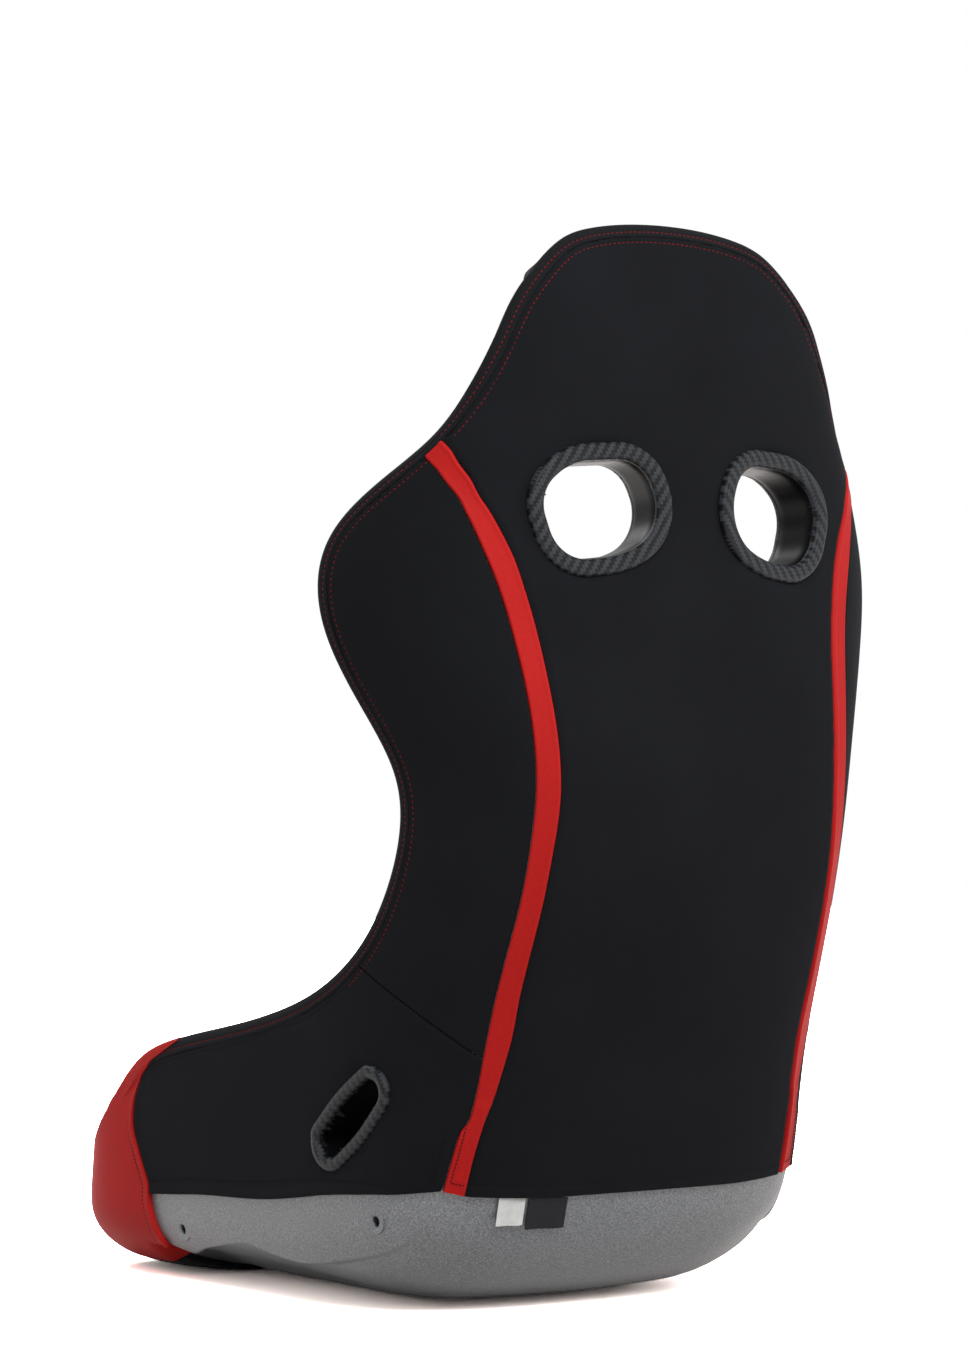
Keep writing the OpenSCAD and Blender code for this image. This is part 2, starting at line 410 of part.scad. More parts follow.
shell();
back_cover();
upper_side_left();
right() upper_side_left();  // upper_side_right
lower_side_left();
right() lower_side_left();  // lower_side_right
stripe_left();
right() stripe_left();  // stripe_right
front_cap_left();
right() front_cap_left();  // front_cap_right
underside_flap();
edge_trim();
shoulder_ring_left();
right() shoulder_ring_left();  // shoulder_ring_right
shoulder_ring_front_left();
right() shoulder_ring_front_left();  // shoulder_ring_front_right
shoulder_tunnel_left();
right() shoulder_tunnel_left();  // shoulder_tunnel_right
lap_ring_left();
right() lap_ring_left();  // lap_ring_right
lap_ring_inner_left();
right() lap_ring_inner_left();  // lap_ring_inner_right
lap_tunnel_left();
right() lap_tunnel_left();  // lap_tunnel_right
crotch_ring();
crotch_tunnel();
head_pad();
upper_back_pad();
lumbar_pad();
shoulder_bolster_left();
right() shoulder_bolster_left();  // shoulder_bolster_right
waist_bolster_left();
right() waist_bolster_left();  // waist_bolster_right
thigh_bolster_left();
right() thigh_bolster_left();  // thigh_bolster_right
seat_cushion();
front_thigh_pad();
mount_plate_left();
right() mount_plate_left();  // mount_plate_right
mount_nut();
label_light();
label_dark();
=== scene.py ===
"""Dresses the packed bucket seat: smooth tub, sewn covers, leather stripes, rings, pads, stitching and stage."""
import math

import bpy
import numpy as np
from mathutils import Matrix


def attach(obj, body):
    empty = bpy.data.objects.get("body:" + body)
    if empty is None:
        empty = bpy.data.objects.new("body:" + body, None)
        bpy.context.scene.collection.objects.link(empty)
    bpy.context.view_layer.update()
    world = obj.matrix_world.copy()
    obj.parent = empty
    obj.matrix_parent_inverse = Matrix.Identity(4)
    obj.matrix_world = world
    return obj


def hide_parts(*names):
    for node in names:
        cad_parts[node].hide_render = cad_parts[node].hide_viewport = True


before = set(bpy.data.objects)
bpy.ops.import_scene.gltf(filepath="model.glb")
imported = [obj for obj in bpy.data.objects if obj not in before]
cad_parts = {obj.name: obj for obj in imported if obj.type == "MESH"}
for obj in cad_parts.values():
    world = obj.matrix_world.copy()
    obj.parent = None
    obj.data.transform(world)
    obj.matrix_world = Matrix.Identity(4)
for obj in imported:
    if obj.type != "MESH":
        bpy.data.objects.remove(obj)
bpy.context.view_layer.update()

bl_info = {
    "name": "Bucket Seat Dressing",
    "version": (1, 0, 0),
    "blender": (4, 5, 0),
    "location": "3D View > Sidebar > Seat",
    "description": "Builds the covers, pads, rings and stitching of a fixed-back bucket seat around its packed frame",
    "category": "Object",
}

# ---- the outer face of the tub, in millimetres ---------------------------------------------------
# Each row: middle (y, z), rim (y, z), half widths of its eight points, their distances from the middle.
SHOULDER, WAIST, SIDE = 262, 202, 204
HIP = SIDE + 6
ROWS = (
    ((284, 873), (286, 831), (0, 30, 57, 82, 98, 111, 121, 130), (0, 1, 4, 9, 15, 24, 33)),
    ((300, 837), (286, 807), (0, 34, 67, 98, 116, 131, 143, 151), (0, 1, 3, 7, 12, 19, 26)),
    ((310, 796), (284, 779), (0, 38, 75, 110, 130, 146, 157, 163), (0, 1, 3, 8, 14, 21, 27)),
    ((316, 758), (279, 752), (0, 44, 87, 126, 147, 163, 172, 175), (0, 1, 4, 11, 18, 26, 33)),
    ((318, 725), (270, 726), (0, 48, 96, 143, 165, 178, 184, 186), (0, 2, 7, 18, 27, 36, 43)),
    ((320, 692), (256, 694), (0, 52, 104, 160, 184, 196, 201, 203), (0, 2, 8, 22, 32, 44, 54)),
    ((322, 660), (226, 662), (0, 54, 108, 166, 194, 215, 229, 235), (0, 3, 10, 26, 38, 58, 81)),
    ((323, 627), (188, 629), (0, 54, 108, 163, 195, 227, 247, SHOULDER - 9), (0, 3, 9, 23, 34, 61, 102)),
    ((326, 590), (174, 591), (0, 54, 108, 158, 192, 231, 255, SHOULDER - 2), (0, 2, 8, 19, 31, 61, 109)),
    ((332, 546), (176, 546), (0, 52, 104, 152, 186, 224, 248, SHOULDER - 8), (0, 2, 7, 17, 31, 62, 111)),
    ((339, 498), (190, 495), (0, 50, 100, 146, 178, 211, 229, 232), (0, 1, 5, 13, 28, 63, 108)),
    ((346, 445), (212, 440), (0, 50, 98, 142, 170, 192, 203, WAIST + 4), (0, 2, 6, 12, 30, 62, 95)),
    ((345, 390), (213, 392), (0, 50, 98, 142, 166, 186, 198, WAIST - 1), (0, 2, 6, 14, 33, 65, 97)),
    ((333, 328), (190, 337), (0, 50, 98, 144, 167, 186, 198, WAIST - 1), (0, 2, 6, 17, 36, 68, 106)),
    ((310, 262), (156, 291), (0, 50, 100, 150, 173, 190, 200, WAIST + 2), (0, 2, 6, 19, 38, 74, 121)),
    ((287, 195), (103, 256), (0, 52, 104, 155, 179, SIDE - 7, SIDE + 1, SIDE + 4), (0, 2, 6, 20, 42, 86, 143)),
    ((266, 125), (41, 236), (0, 54, 108, 163, 190, 204, 207, HIP - 1), (0, 2, 7, 23, 42, 98, 180)),
    ((242, 56), (-26, 222), (0, 56, 112, 178, SIDE + 3, SIDE + 2, SIDE + 3, HIP), (0, 2, 6, 26, 50, 122, 218)),
    ((194, 6), (-82, 213), (0, 58, 114, 180, SIDE + 2, SIDE + 1, SIDE + 3, HIP), (0, 2, 5, 19, 66, 146, 240)),
    ((86, -2.5), (-126, 204), (0, 58, 114, 177, SIDE + 2, SIDE, SIDE + 3, HIP), (0, 2, 5, 13, 50, 128, 210)),
    ((-2, -2.5), (-158, 194), (0, 58, 114, 176, SIDE + 2, SIDE, SIDE + 3, HIP), (0, 2, 8, 18, 48, 112, 182)),
    ((-77, -2.5), (-186, 180), (0, 58, 114, 176, SIDE + 2, SIDE, SIDE + 2, SIDE + 3), (0, 1, 6, 16, 44, 98, 160)),
    ((-141, 2), (-210, 161), (0, 58, 112, 174, SIDE + 1, SIDE, SIDE + 1, SIDE + 1), (0, 1, 4, 11, 38, 86, 136)),
    ((-196, 4), (-237, 139), (0, 58, 112, 168, 202, 203, 203, 202), (0, 0, 2, 7, 36, 72, 110)),
    ((-248, 5), (-258, 115), (0, 58, 112, 163, 195, 199, 199, 198), (0, 0, 2, 6, 34, 62, 88)),
    ((-288, 9), (-270, 96), (0, 58, 112, 159, 186, 191, 191, 189), (0, 1, 3, 8, 29, 50, 70)),
    ((-307, 29), (-279, 83), (0, 58, 112, 152, 174, 180, 181, 179), (0, 1, 4, 10, 22, 34, 46)),
    ((-310, 62), (-282, 77), (0, 58, 112, 147, 165, 169, 170, 168), (0, 1, 3, 7, 12, 18, 24)),
)
LAST = len(ROWS) - 1
RIM = 7
FLIP = np.array([-1.0, 1.0, 1.0])


def control_net():
    """A row's points lie on the line from its middle to its rim, at their distances, with their half widths.
    Past the middle the net is mirrored, and past its other borders it runs straight on."""
    net = []
    for middle, rim, wide, away in ROWS:
        middle, rim = np.array(middle, float), np.array(rim, float)
        run = np.linalg.norm(rim - middle)
        share = np.append(away, run) / run
        net.append(np.column_stack([wide, middle + share[:, None] * (rim - middle)]))
    net = np.array(net)
    net = np.concatenate([2 * net[:1] - net[1:2], net, 2 * net[-1:] - net[-2:-1]], axis=0)
    return np.concatenate([net[:, 1:2] * FLIP, net, 2 * net[:, -1:] - net[:, -2:-1]], axis=1)


NET = control_net()


def weights(t, slope):
    """The four uniform cubic B-spline weights at t, or their slopes."""
    if slope:
        return np.stack([-((1 - t) ** 2), 3 * t * t - 4 * t, -3 * t * t + 2 * t + 1, t * t]) / 2
    return np.stack([(1 - t) ** 3, 3 * t**3 - 6 * t * t + 4, -3 * t**3 + 3 * t * t + 3 * t + 1, t**3]) / 6


def surface(u, v, along=0, across=0):
    """Sum of the sixteen net points round (u, v), each times its row weight and its column weight."""
    i = np.clip(np.floor(u), 0, LAST - 1).astype(int)
    j = np.clip(np.floor(v), 0, RIM - 1).astype(int)
    a, b = weights(u - i, along), weights(v - j, across)
    return sum((a[p] * b[q])[..., None] * NET[i + p, j + q] for p in range(4) for q in range(4))


def unit(vectors):
    """Each vector divided by its length."""
    return vectors / np.maximum(np.linalg.norm(vectors, axis=-1, keepdims=True), 1e-9)


def outward(u, v):
    """Cross product of the surface's two slopes, read just inside the rim."""
    a, b = np.maximum(u, 0.15), np.minimum(v, RIM - 0.15)
    return unit(np.cross(surface(a, b, 0, 1), surface(a, b, 1, 0)))


def ease(t):
    """Smooth step from 0 to 1: t squared times (3 - 2t)."""
    t = np.clip(t, 0, 1)
    return t * t * (3 - 2 * t)


def along_table(x, table):
    """Smooth curve through a table's points: cubic pieces whose slopes are the mean of their neighbours."""
    table = np.array(table, float)
    xs, ys = table[:, 0], table[:, 1]
    rise = np.diff(ys) / np.diff(xs)
    slopes = np.concatenate([rise[:1], np.where(rise[1:] * rise[:-1] > 0, (rise[1:] + rise[:-1]) / 2, 0), rise[-1:]])
    x = np.clip(x, xs[0], xs[-1])
    k = np.clip(np.searchsorted(xs, x, side="right") - 1, 0, len(xs) - 2)
    h = xs[k + 1] - xs[k]
    t = (x - xs[k]) / h
    return (
        (1 + 2 * t) * (1 - t) ** 2 * ys[k]
        + t * (1 - t) ** 2 * h * slopes[k]
        + t * t * (3 - 2 * t) * ys[k + 1]
        - t * t * (1 - t) * h * slopes[k + 1]
    )


# column of the side flange's lower edge against the row
FLANGE_EDGE = (
    (0, 3.85), (16.5, 3.85), (17.1, 3.45), (17.35, 3.48), (17.75, 3.7), (18.2, 3.85), (19, 3.87), (19.45, 4.02),
    (19.75, 4.12), (20, 4.08), (20.5, 3.93), (21, 3.75), (21.5, 3.5), (21.8, 3.6), (22.6, 3.85), (27, 3.85),
)


def tuck(u, v):
    """Depth in mm of the step under the flanges: shallower at the rear, fading to the middle and to both ends."""
    below = ease((along_table(u, FLANGE_EDGE) - v) / 0.16) * (0.4 + 0.6 * ease((u - 18) / 1.5))
    return 12 * below * ease((v - 1.8) / 1.1) * ease((u - 16.9) / 0.6) * ease((22.6 - u) / 0.7)


def flipped(v):
    """Factors that mirror the points at negative columns, which are the mirrored side."""
    return np.where(v < 0, -1.0, 1.0)[..., None] ** [1, 0, 0]


def face(u, v):
    """Point of the tub's face at row u and column v, without the step under the flanges."""
    return surface(u, np.abs(v)) * flipped(v)


def at(u, v, o):
    """Point at row u and column v, moved outwards by o mm from the face and its step."""
    u, v, o = np.broadcast_arrays(np.asarray(u, float), np.asarray(v, float), np.asarray(o, float))
    w = np.abs(v)
    return (surface(u, w) + (o - tuck(u, w))[..., None] * outward(u, w)) * flipped(v)


def facing(u, v):
    """Outward direction on either side."""
    u, v = np.broadcast_arrays(np.asarray(u, float), np.asarray(v, float))
    return outward(u, np.abs(v)) * flipped(v)


# ---- lines that run at one distance from the rim -------------------------------------------------
RIM_LINE = np.concatenate([
    surface(np.linspace(LAST, 0, 800), np.full(800, float(RIM))),
    face(np.zeros(220), np.linspace(RIM, -2, 220)),
])


def rim_gap(u, v):
    """Distance in mm from a point of the tub's face to the nearest point of the rim."""
    u, v = np.broadcast_arrays(np.asarray(u, float), np.abs(np.asarray(v, float)))
    points = surface(u, v).reshape(-1, 3)
    gap = np.full(len(points), 99.0)
    near = np.nonzero((v.ravel() > 3.9) | (u.ravel() < 1.6))[0]
    for part in np.array_split(near, max(1, len(near) // 2000)):
        if len(part):
            gap[part] = np.sqrt(((points[part, None] - RIM_LINE[None]) ** 2).sum(-1)).min(1)
    return gap.reshape(u.shape)


def runs(points, axis=0):
    """Length in mm from the first point of a line or of a grid's lines to each of its points."""
    steps = np.linalg.norm(np.diff(points, axis=axis), axis=-1)
    return np.concatenate([np.zeros_like(np.take(steps, [0], axis)), np.cumsum(steps, axis)], axis)


def spaced(points, count=None, step=None):
    """Places of equal arc length along a line: returns the fractional index of each."""
    run = runs(points)
    if count is None:
        count = max(2, int(round(run[-1] / step)) + 1)
    return np.interp(np.linspace(0, run[-1], count), run, np.arange(len(points)))


def inset(distance, count=None, step=None):
    """Rows and columns of the line that keeps its distance in mm from the rim, from the head's middle to the
    front lip. Rays from inside the head meet it there, and further down it is found along each row. Both by
    halving an interval sixteen times."""
    turn = np.linspace(np.pi / 2, 0, 130)
    far = 1 / np.maximum(np.sin(turn), np.cos(turn))
    side = np.linspace(3, 26, 520)[1:]

    def place(k):
        ray, row = far * (1 - 0.6 * k[:130]), 7 - 2.6 * k[130:]
        return (np.concatenate([3 - 3 * ray * np.sin(turn), side]), np.concatenate([7 * ray * np.cos(turn), row]))

    low, high = np.zeros(649), np.ones(649)
    for _ in range(16):
        middle = (low + high) / 2
        less = rim_gap(*place(middle)) < distance
        low, high = np.where(less, middle, low), np.where(less, high, middle)
    u, v = place(low if distance else np.zeros(649))
    k = spaced(surface(u, v), count, step)
    index = np.arange(len(u))
    return np.interp(k, index, u), np.interp(k, index, v)


# ---- seams ---------------------------------------------------------------------------------------
SEAM = 0.004  # columns between a seam and the piece beside it
BACK_HEM = 16.39  # row of the back hem in the middle
STRIPE_START, STRIPE_END = 4.98, 16.5  # rows of the stripe's inner edge
CAP_INNER = 3.13  # column of the caps' inner edge
FLAP_START = 22.3  # row of the flap's rear edge
# stations of the stripe: inner edge (row, column), outer edge (row, column)
STRIPE = np.array([
    (4.98, 6.10, 5.34, 6.25), (5.04, 5.77, 5.45, 5.90), (5.16, 5.25, 5.60, 5.38), (5.34, 4.80, 5.82, 4.90),
    (5.85, 4.05, 6.32, 4.28), (6.33, 3.71, 6.75, 4.04), (6.80, 3.44, 7.15, 3.88), (7.60, 3.17, 7.82, 3.69),
    (8.30, 3.06, 8.42, 3.57), (9.00, 3.00, 9.06, 3.51), (10.0, 2.98, 10.03, 3.49), (11.3, 2.96, 11.3, 3.52),
    (12.4, 3.04, 12.4, 3.58), (13.2, 3.05, 13.2, 3.58), (14.0, 3.01, 14.0, 3.53), (14.7, 2.92, 14.7, 3.42),
    (15.3, 2.94, 15.3, 3.31), (15.62, 2.98, 15.62, 3.28), (15.8, 2.98, 15.8, 3.38), (16.1, 2.96, 16.1, 3.355),
    (16.5, 2.89, 16.5, 3.28),
])
SIDE_HEM = (
    (16.5, 3.28), (16.62, 3.66), (16.93, 4.23), (17.3, 4.58), (17.7, 4.78), (18.1, 4.86), (19, 4.88), (20.3, 4.87),
    (21.6, 4.82), (23, 4.8),
)
CAP_EDGE = (
    (3.1, 22.1), (3.7, 22.0), (4.2, 21.97), (4.7, 21.9), (5, 21.8), (5.4, 21.84), (5.9, 21.86), (6.34, 21.65),
    (6.66, 21.14), (6.84, 20.4), (6.92, 19.7), (7, 18.6),
)


def stripe_inner(u):
    """Column of the stripe's inner edge at row u."""
    return along_table(u, STRIPE[:, :2])


def stripe_outer(u):
    """Column of the stripe's outer edge at row u."""
    return along_table(u, STRIPE[:, 2:])


def side_border(u):
    """Column of the lower side cover's lower border at row u: the stripe, then the hem."""
    return np.where(u < STRIPE_END, stripe_outer(u), along_table(u, SIDE_HEM))


def back_hem(v):
    """Row of the back cover's hem: a shallow arch, lower at the stripes."""
    return BACK_HEM + 0.014 * v * v


def side_seam(v):
    """Row of the slanted seam between the two side covers."""
    return 14.87 - 0.195 * (v - 3.46)


# ---- meshes --------------------------------------------------------------------------------------
def signed_volume(points, quads, tris):
    """Six times the volume of a closed mesh: positive where its faces look outwards."""
    a, b, c, d = (points[quads[:, k]] for k in range(4))
    volume = np.einsum("ij,ij->", a, np.cross(b, c)) + np.einsum("ij,ij->", a, np.cross(c, d))
    a, b, c = (points[tris[:, k]] for k in range(3))
    return volume + np.einsum("ij,ij->", a, np.cross(b, c))


def fill_mesh(name, points, quads, tris=None, uv=None, sharp=50):
    """Puts points in mm and faces into a mesh, drops points without a face, and turns a closed mesh's faces
    outwards by the sign of its volume."""
    quads = np.asarray(quads, int).reshape(-1, 4)
    tris = np.zeros((0, 3), int) if tris is None else np.asarray(tris, int).reshape(-1, 3)
    if signed_volume(points, quads, tris) < 0:
        quads, tris = quads[:, ::-1], tris[:, ::-1]
    corners = np.concatenate([quads.ravel(), tris.ravel()])
    used, corners = np.unique(corners, return_inverse=True)
    mesh = bpy.data.meshes.new(name)
    mesh.vertices.add(len(used))
    mesh.vertices.foreach_set("co", (points[used] * 0.001).ravel())
    mesh.loops.add(len(corners))
    mesh.loops.foreach_set("vertex_index", corners.ravel())
    sizes = np.concatenate([np.full(len(quads), 4), np.full(len(tris), 3)])
    mesh.polygons.add(len(sizes))
    mesh.polygons.foreach_set("loop_start", np.concatenate([[0], np.cumsum(sizes)[:-1]]))
    mesh.polygons.foreach_set("use_smooth", np.ones(len(sizes), bool))
    if uv is not None:
        layer = mesh.uv_layers.new(name="surface")
        layer.data.foreach_set("uv", (uv[used][corners.ravel()] * 0.001).ravel())
    mesh.update(calc_edges=True)
    mesh.validate()
    mesh.set_sharp_from_angle(angle=math.radians(sharp))
    return mesh


def slab(outer, inner, keep=None):
    """Closes the space between two grids: the outer face, the inner face turned round, and a wall wherever a
    kept cell has no kept neighbour."""
    m, n = outer.shape[:2]
    keep = np.ones((m - 1, n - 1), bool) if keep is None else keep
    ids, k = np.arange(m * n).reshape(m, n), m * n
    a, b, c, d = ids[:-1, :-1], ids[:-1, 1:], ids[1:, 1:], ids[1:, :-1]
    faces = [np.stack([a, b, c, d], -1)[keep], np.stack([a, d, c, b], -1)[keep] + k]
    wide = np.pad(keep, 1)
    for (p, q), beside in (
        ((a, b), wide[:-2, 1:-1]), ((b, c), wide[1:-1, 2:]), ((c, d), wide[2:, 1:-1]), ((d, a), wide[1:-1, :-2]),
    ):
        border = keep & ~beside
        p, q = p[border], q[border]
        faces.append(np.stack([q, p, p + k, q + k], -1))
    return np.concatenate([outer.reshape(-1, 3), inner.reshape(-1, 3)]), np.concatenate(faces)


def tube(rings, closed=False):
    """Joins rings of points one after another, and closes the ends with fans unless the last meets the first."""
    n, m = rings.shape[:2]
    ids = np.arange(n * m).reshape(n, m)
    here = ids if closed else ids[:-1]
    there = np.roll(ids, -1, 0) if closed else ids[1:]
    quads = np.stack([here, np.roll(here, -1, 1), np.roll(there, -1, 1), there], -1).reshape(-1, 4)
    points, tris = rings.reshape(-1, 3), None
    if not closed:
        points = np.concatenate([points, rings[[0, -1]].mean(1)])
        first, last = ids[0], ids[-1]
        tris = np.concatenate([
            np.stack([np.roll(first, -1), first, np.full(m, n * m)], -1),
            np.stack([last, np.roll(last, -1), np.full(m, n * m + 1)], -1),
        ])
    return points, quads, tris


def flat_map(points, middle=None):
    """Each grid point's run in mm across its row, from the middle column, and along the middle column."""
    middle = points.shape[1] // 2 if middle is None else middle
    across = runs(points, 1)
    across = across - across[:, middle : middle + 1]
    return np.stack([across, np.broadcast_to(runs(points[:, middle])[:, None], across.shape)], -1)


def marks(length, first, last, step):
    """Shares from 0 to 1 along a line of that length in mm: the first marks from its start, the last marks
    from its end, and even steps between them."""
    first, last = np.array(first, float), np.array(last, float)
    room = length - first[-1] - last[-1]
    count = max(2, int(math.ceil(room / step)))
    between = first[-1] + room * np.arange(1, count) / count
    return np.concatenate([first, between, length - last[::-1]]) / length


def round_off(gap, radius, low, high):
    """Height that rises from low to high over the radius, as a quarter of an ellipse."""
    k = np.clip(gap / radius, 0, 1)
    return low + (high - low) * np.sqrt(np.maximum(1 - (1 - k) ** 2, 0))


def furrow(gap, where, wide, deep):
    """Bell-shaped groove of that depth at one distance."""
    return -deep * np.exp(-(((gap - where) / wide) ** 2))


def border_gaps(points):
    """Distances in mm from each grid point to the grid's four borders, along the rows and the columns:
    to the first column, the last column, the first row and the last row."""
    across, down = runs(points, 1), runs(points)
    return across, across[:, -1:] - across, down, down[-1:] - down


# ---- belt openings -------------------------------------------------------------------------------
SHOULDER_HOLE = ((31, 46, 66), (-46, 51, 44), (-77, -27, 50), (-17, -55, 96), (49, -62, 46), (73, 12, 43))
LAP_HOLE = ((18, 45, 13), (-19, 21, 186), (-52, -11, 13), (-51, -66, 24), (17, -18, 190), (67, 36, 21))
CROTCH_HOLE = ((52, 27, 22), (-52, 27, 22), (-52, -27, 22), (52, -27, 22))
RING_FOOT = -6  # height of a ring's foot in its opening's plane
SHOULDER_BAND, LAP_BAND, CROTCH_BAND = 14, 11, 8  # widths of the rings' bands
SHOULDER_CUT, LAP_CUT, CROTCH_CUT = 11.8, 8.8, 5.8  # how far the cut through the tub and the pads is drawn in
SHOULDER_DEEP, LAP_DEEP, CROTCH_DEEP = 42, 50, 56  # depths of the tunnels


def turned(axis, degrees):
    """Rotation matrix about one axis as a numpy array."""
    return np.array(Matrix.Rotation(math.radians(degrees), 3, axis))


# each opening: its centre, the axes of its plane as columns (the third points out of the seat), its outline
SHOULDER_PLACE = (
    np.array([88.0, 322.0, 647.0]), turned("Z", -9) @ turned("X", 93) @ np.diag([1.0, 1.0, -1.0]), SHOULDER_HOLE,
)
LAP_PLACE = (np.array([HIP + 0.4, 145.0, 158.0]), turned("Z", 4) @ turned("X", 90) @ turned("Y", 90), LAP_HOLE)
CROTCH_PLACE = (np.array([0.0, -118.0, 0.0]), np.eye(3), CROTCH_HOLE)


def outline(corners, inwards, steps=14, side=6):
    """Closed outline with rounded corners, drawn in by a distance. Each corner is an arc between its two
    touching points, and each straight run between arcs is cut into even steps."""
    corners = np.array(corners, float)
    at_corner, radii = corners[:, :2], corners[:, 2]
    back, fore = unit(np.roll(at_corner, 1, 0) - at_corner), unit(np.roll(at_corner, -1, 0) - at_corner)
    half = np.arccos(np.clip((back * fore).sum(1), -1, 1)) / 2
    moved = at_corner + unit(back + fore) * (inwards / np.sin(half))[:, None]
    radii = np.maximum(radii - inwards, 2)
    centre = moved + unit(back + fore) * (radii / np.sin(half))[:, None]
    start = moved + back * (radii / np.tan(half))[:, None] - centre
    end = moved + fore * (radii / np.tan(half))[:, None] - centre
    a0 = np.arctan2(start[:, 1], start[:, 0])
    sweep = (np.arctan2(end[:, 1], end[:, 0]) - a0 + 3 * np.pi) % (2 * np.pi) - np.pi
    angle = a0[:, None] + sweep[:, None] * np.linspace(0, 1, steps + 1)
    arcs = centre[:, None] + radii[:, None, None] * np.stack([np.cos(angle), np.sin(angle)], -1)
    t = np.linspace(0, 1, side + 1)[1:-1, None]
    straight = arcs[:, -1][:, None] * (1 - t) + np.roll(arcs, -1, 0)[:, 0][:, None] * t
    return np.concatenate([arcs, straight], 1).reshape(-1, 2)


def inside_outline(points, corners):
    """Signed distance in mm from points of a plane to the outline: positive inside. The nearest edge gives the
    distance, and the count of crossings to the right gives the sign."""
    line = outline(corners, 0)
    a, b = line, np.roll(line, -1, 0)
    flat = points.reshape(-1, 2)
    away = np.full(len(flat), 200.0)
    near = np.nonzero((np.abs(flat) < 100).all(1))[0]
    p = flat[near]
    t = np.clip(((p[:, None] - a) * (b - a)).sum(-1) / ((b - a) ** 2).sum(-1), 0, 1)
    gap = np.linalg.norm(p[:, None] - (a + t[..., None] * (b - a)), axis=-1).min(1)
    above = (a[:, 1] > p[:, 1:2]) != (b[:, 1] > p[:, 1:2])
    rise = np.where(b[:, 1] == a[:, 1], 1e-9, b[:, 1] - a[:, 1])
    cross = p[:, 0:1] < (b[:, 0] - a[:, 0]) * (p[:, 1:2] - a[:, 1]) / rise + a[:, 0]
    odd = (above & cross).sum(1) % 2 == 1
    away[near] = np.where(odd, -gap, gap)
    return -away.reshape(points.shape[:-1])


def in_plane(points, place, mirrored=False):
    """Coordinates of points in an opening's plane: across, up and out of the seat."""
    centre, axes, _ = place
    return ((points * FLIP if mirrored else points) - centre) @ axes


def from_plane(local, place, mirrored=False):
    """The reverse of in_plane."""
    centre, axes, _ = place
    points = centre + local @ axes.T
    return points * FLIP if mirrored else points


def seat_under_rings(points, place, mirrored, low=-4.6, outwards=True):
    """Presses a cover in round a ring: within the outline nothing stands above low in the opening's plane, and
    outside it the limit climbs with the distance. Returns the points and each one's distance inside."""
    local = in_plane(points, place, mirrored)
    near = (np.abs(local[..., :2]) < 110).all(-1) & (np.abs(local[..., 2]) < 60)
    inside = np.where(near, inside_outline(local[..., :2], place[2]), -200)
    limit = low + 0.55 * np.maximum(-inside - 0.6, 0) ** 1.25
    local[..., 2] = np.where(near & (local[..., 2] > limit), limit, local[..., 2])
    return from_plane(local, place, mirrored), inside


def kept_behind(outer, inner, u, v, thick, least):
    """Inner face that lies a thickness behind the outer one wherever less than the least is left."""
    out = facing(u, v)
    return np.where(((outer - inner) * out).sum(-1, keepdims=True) < least, outer - thick * out, inner)


def open_cells(inside, drawn_in=6.0):
    """Cells of a grid whose corners all lie outside an outline that is drawn in."""
    blocked = inside > drawn_in
    return ~(blocked[:-1, :-1] & blocked[1:, :-1] & blocked[:-1, 1:] & blocked[1:, 1:])


def prism(place, drawn_in, near, far, mirrored=False):
    """A closed prism through an opening: its outline drawn in, between two heights of the opening's plane."""
    line = outline(place[2], drawn_in)
    line = line[::-1] if mirrored else line
    loops = np.stack([np.column_stack([line, np.full(len(line), z)]) for z in (near, far)])
    return tube(from_plane(loops, place, mirrored))


def cut(context, piece, shapes):
    """Takes closed shapes out of a piece for good."""
    shapes = [s if signed_volume(*s) > 0 else (s[0], s[1][:, ::-1], s[2][:, ::-1]) for s in shapes]
    points = np.concatenate([s[0] for s in shapes])
    starts = np.cumsum([0] + [len(s[0]) for s in shapes[:-1]])
    quads = np.concatenate([s[1] + k for s, k in zip(shapes, starts)])
    tris = np.concatenate([s[2] + k for s, k in zip(shapes, starts)])
    cutter = bpy.data.objects.new("cutter", fill_mesh("cutter", points, quads, tris))
    context.scene.collection.objects.link(cutter)
    hole = piece.modifiers.new("hole", "BOOLEAN")
    hole.operation, hole.solver, hole.object = "DIFFERENCE", "EXACT", cutter
    context.view_layer.update()
    evaluated = piece.evaluated_get(context.evaluated_depsgraph_get())
    whole, cut_mesh = piece.data, bpy.data.meshes.new_from_object(evaluated)
    piece.modifiers.clear()
    piece.data = cut_mesh
    for used in (cutter.data, whole):
        bpy.data.meshes.remove(used)


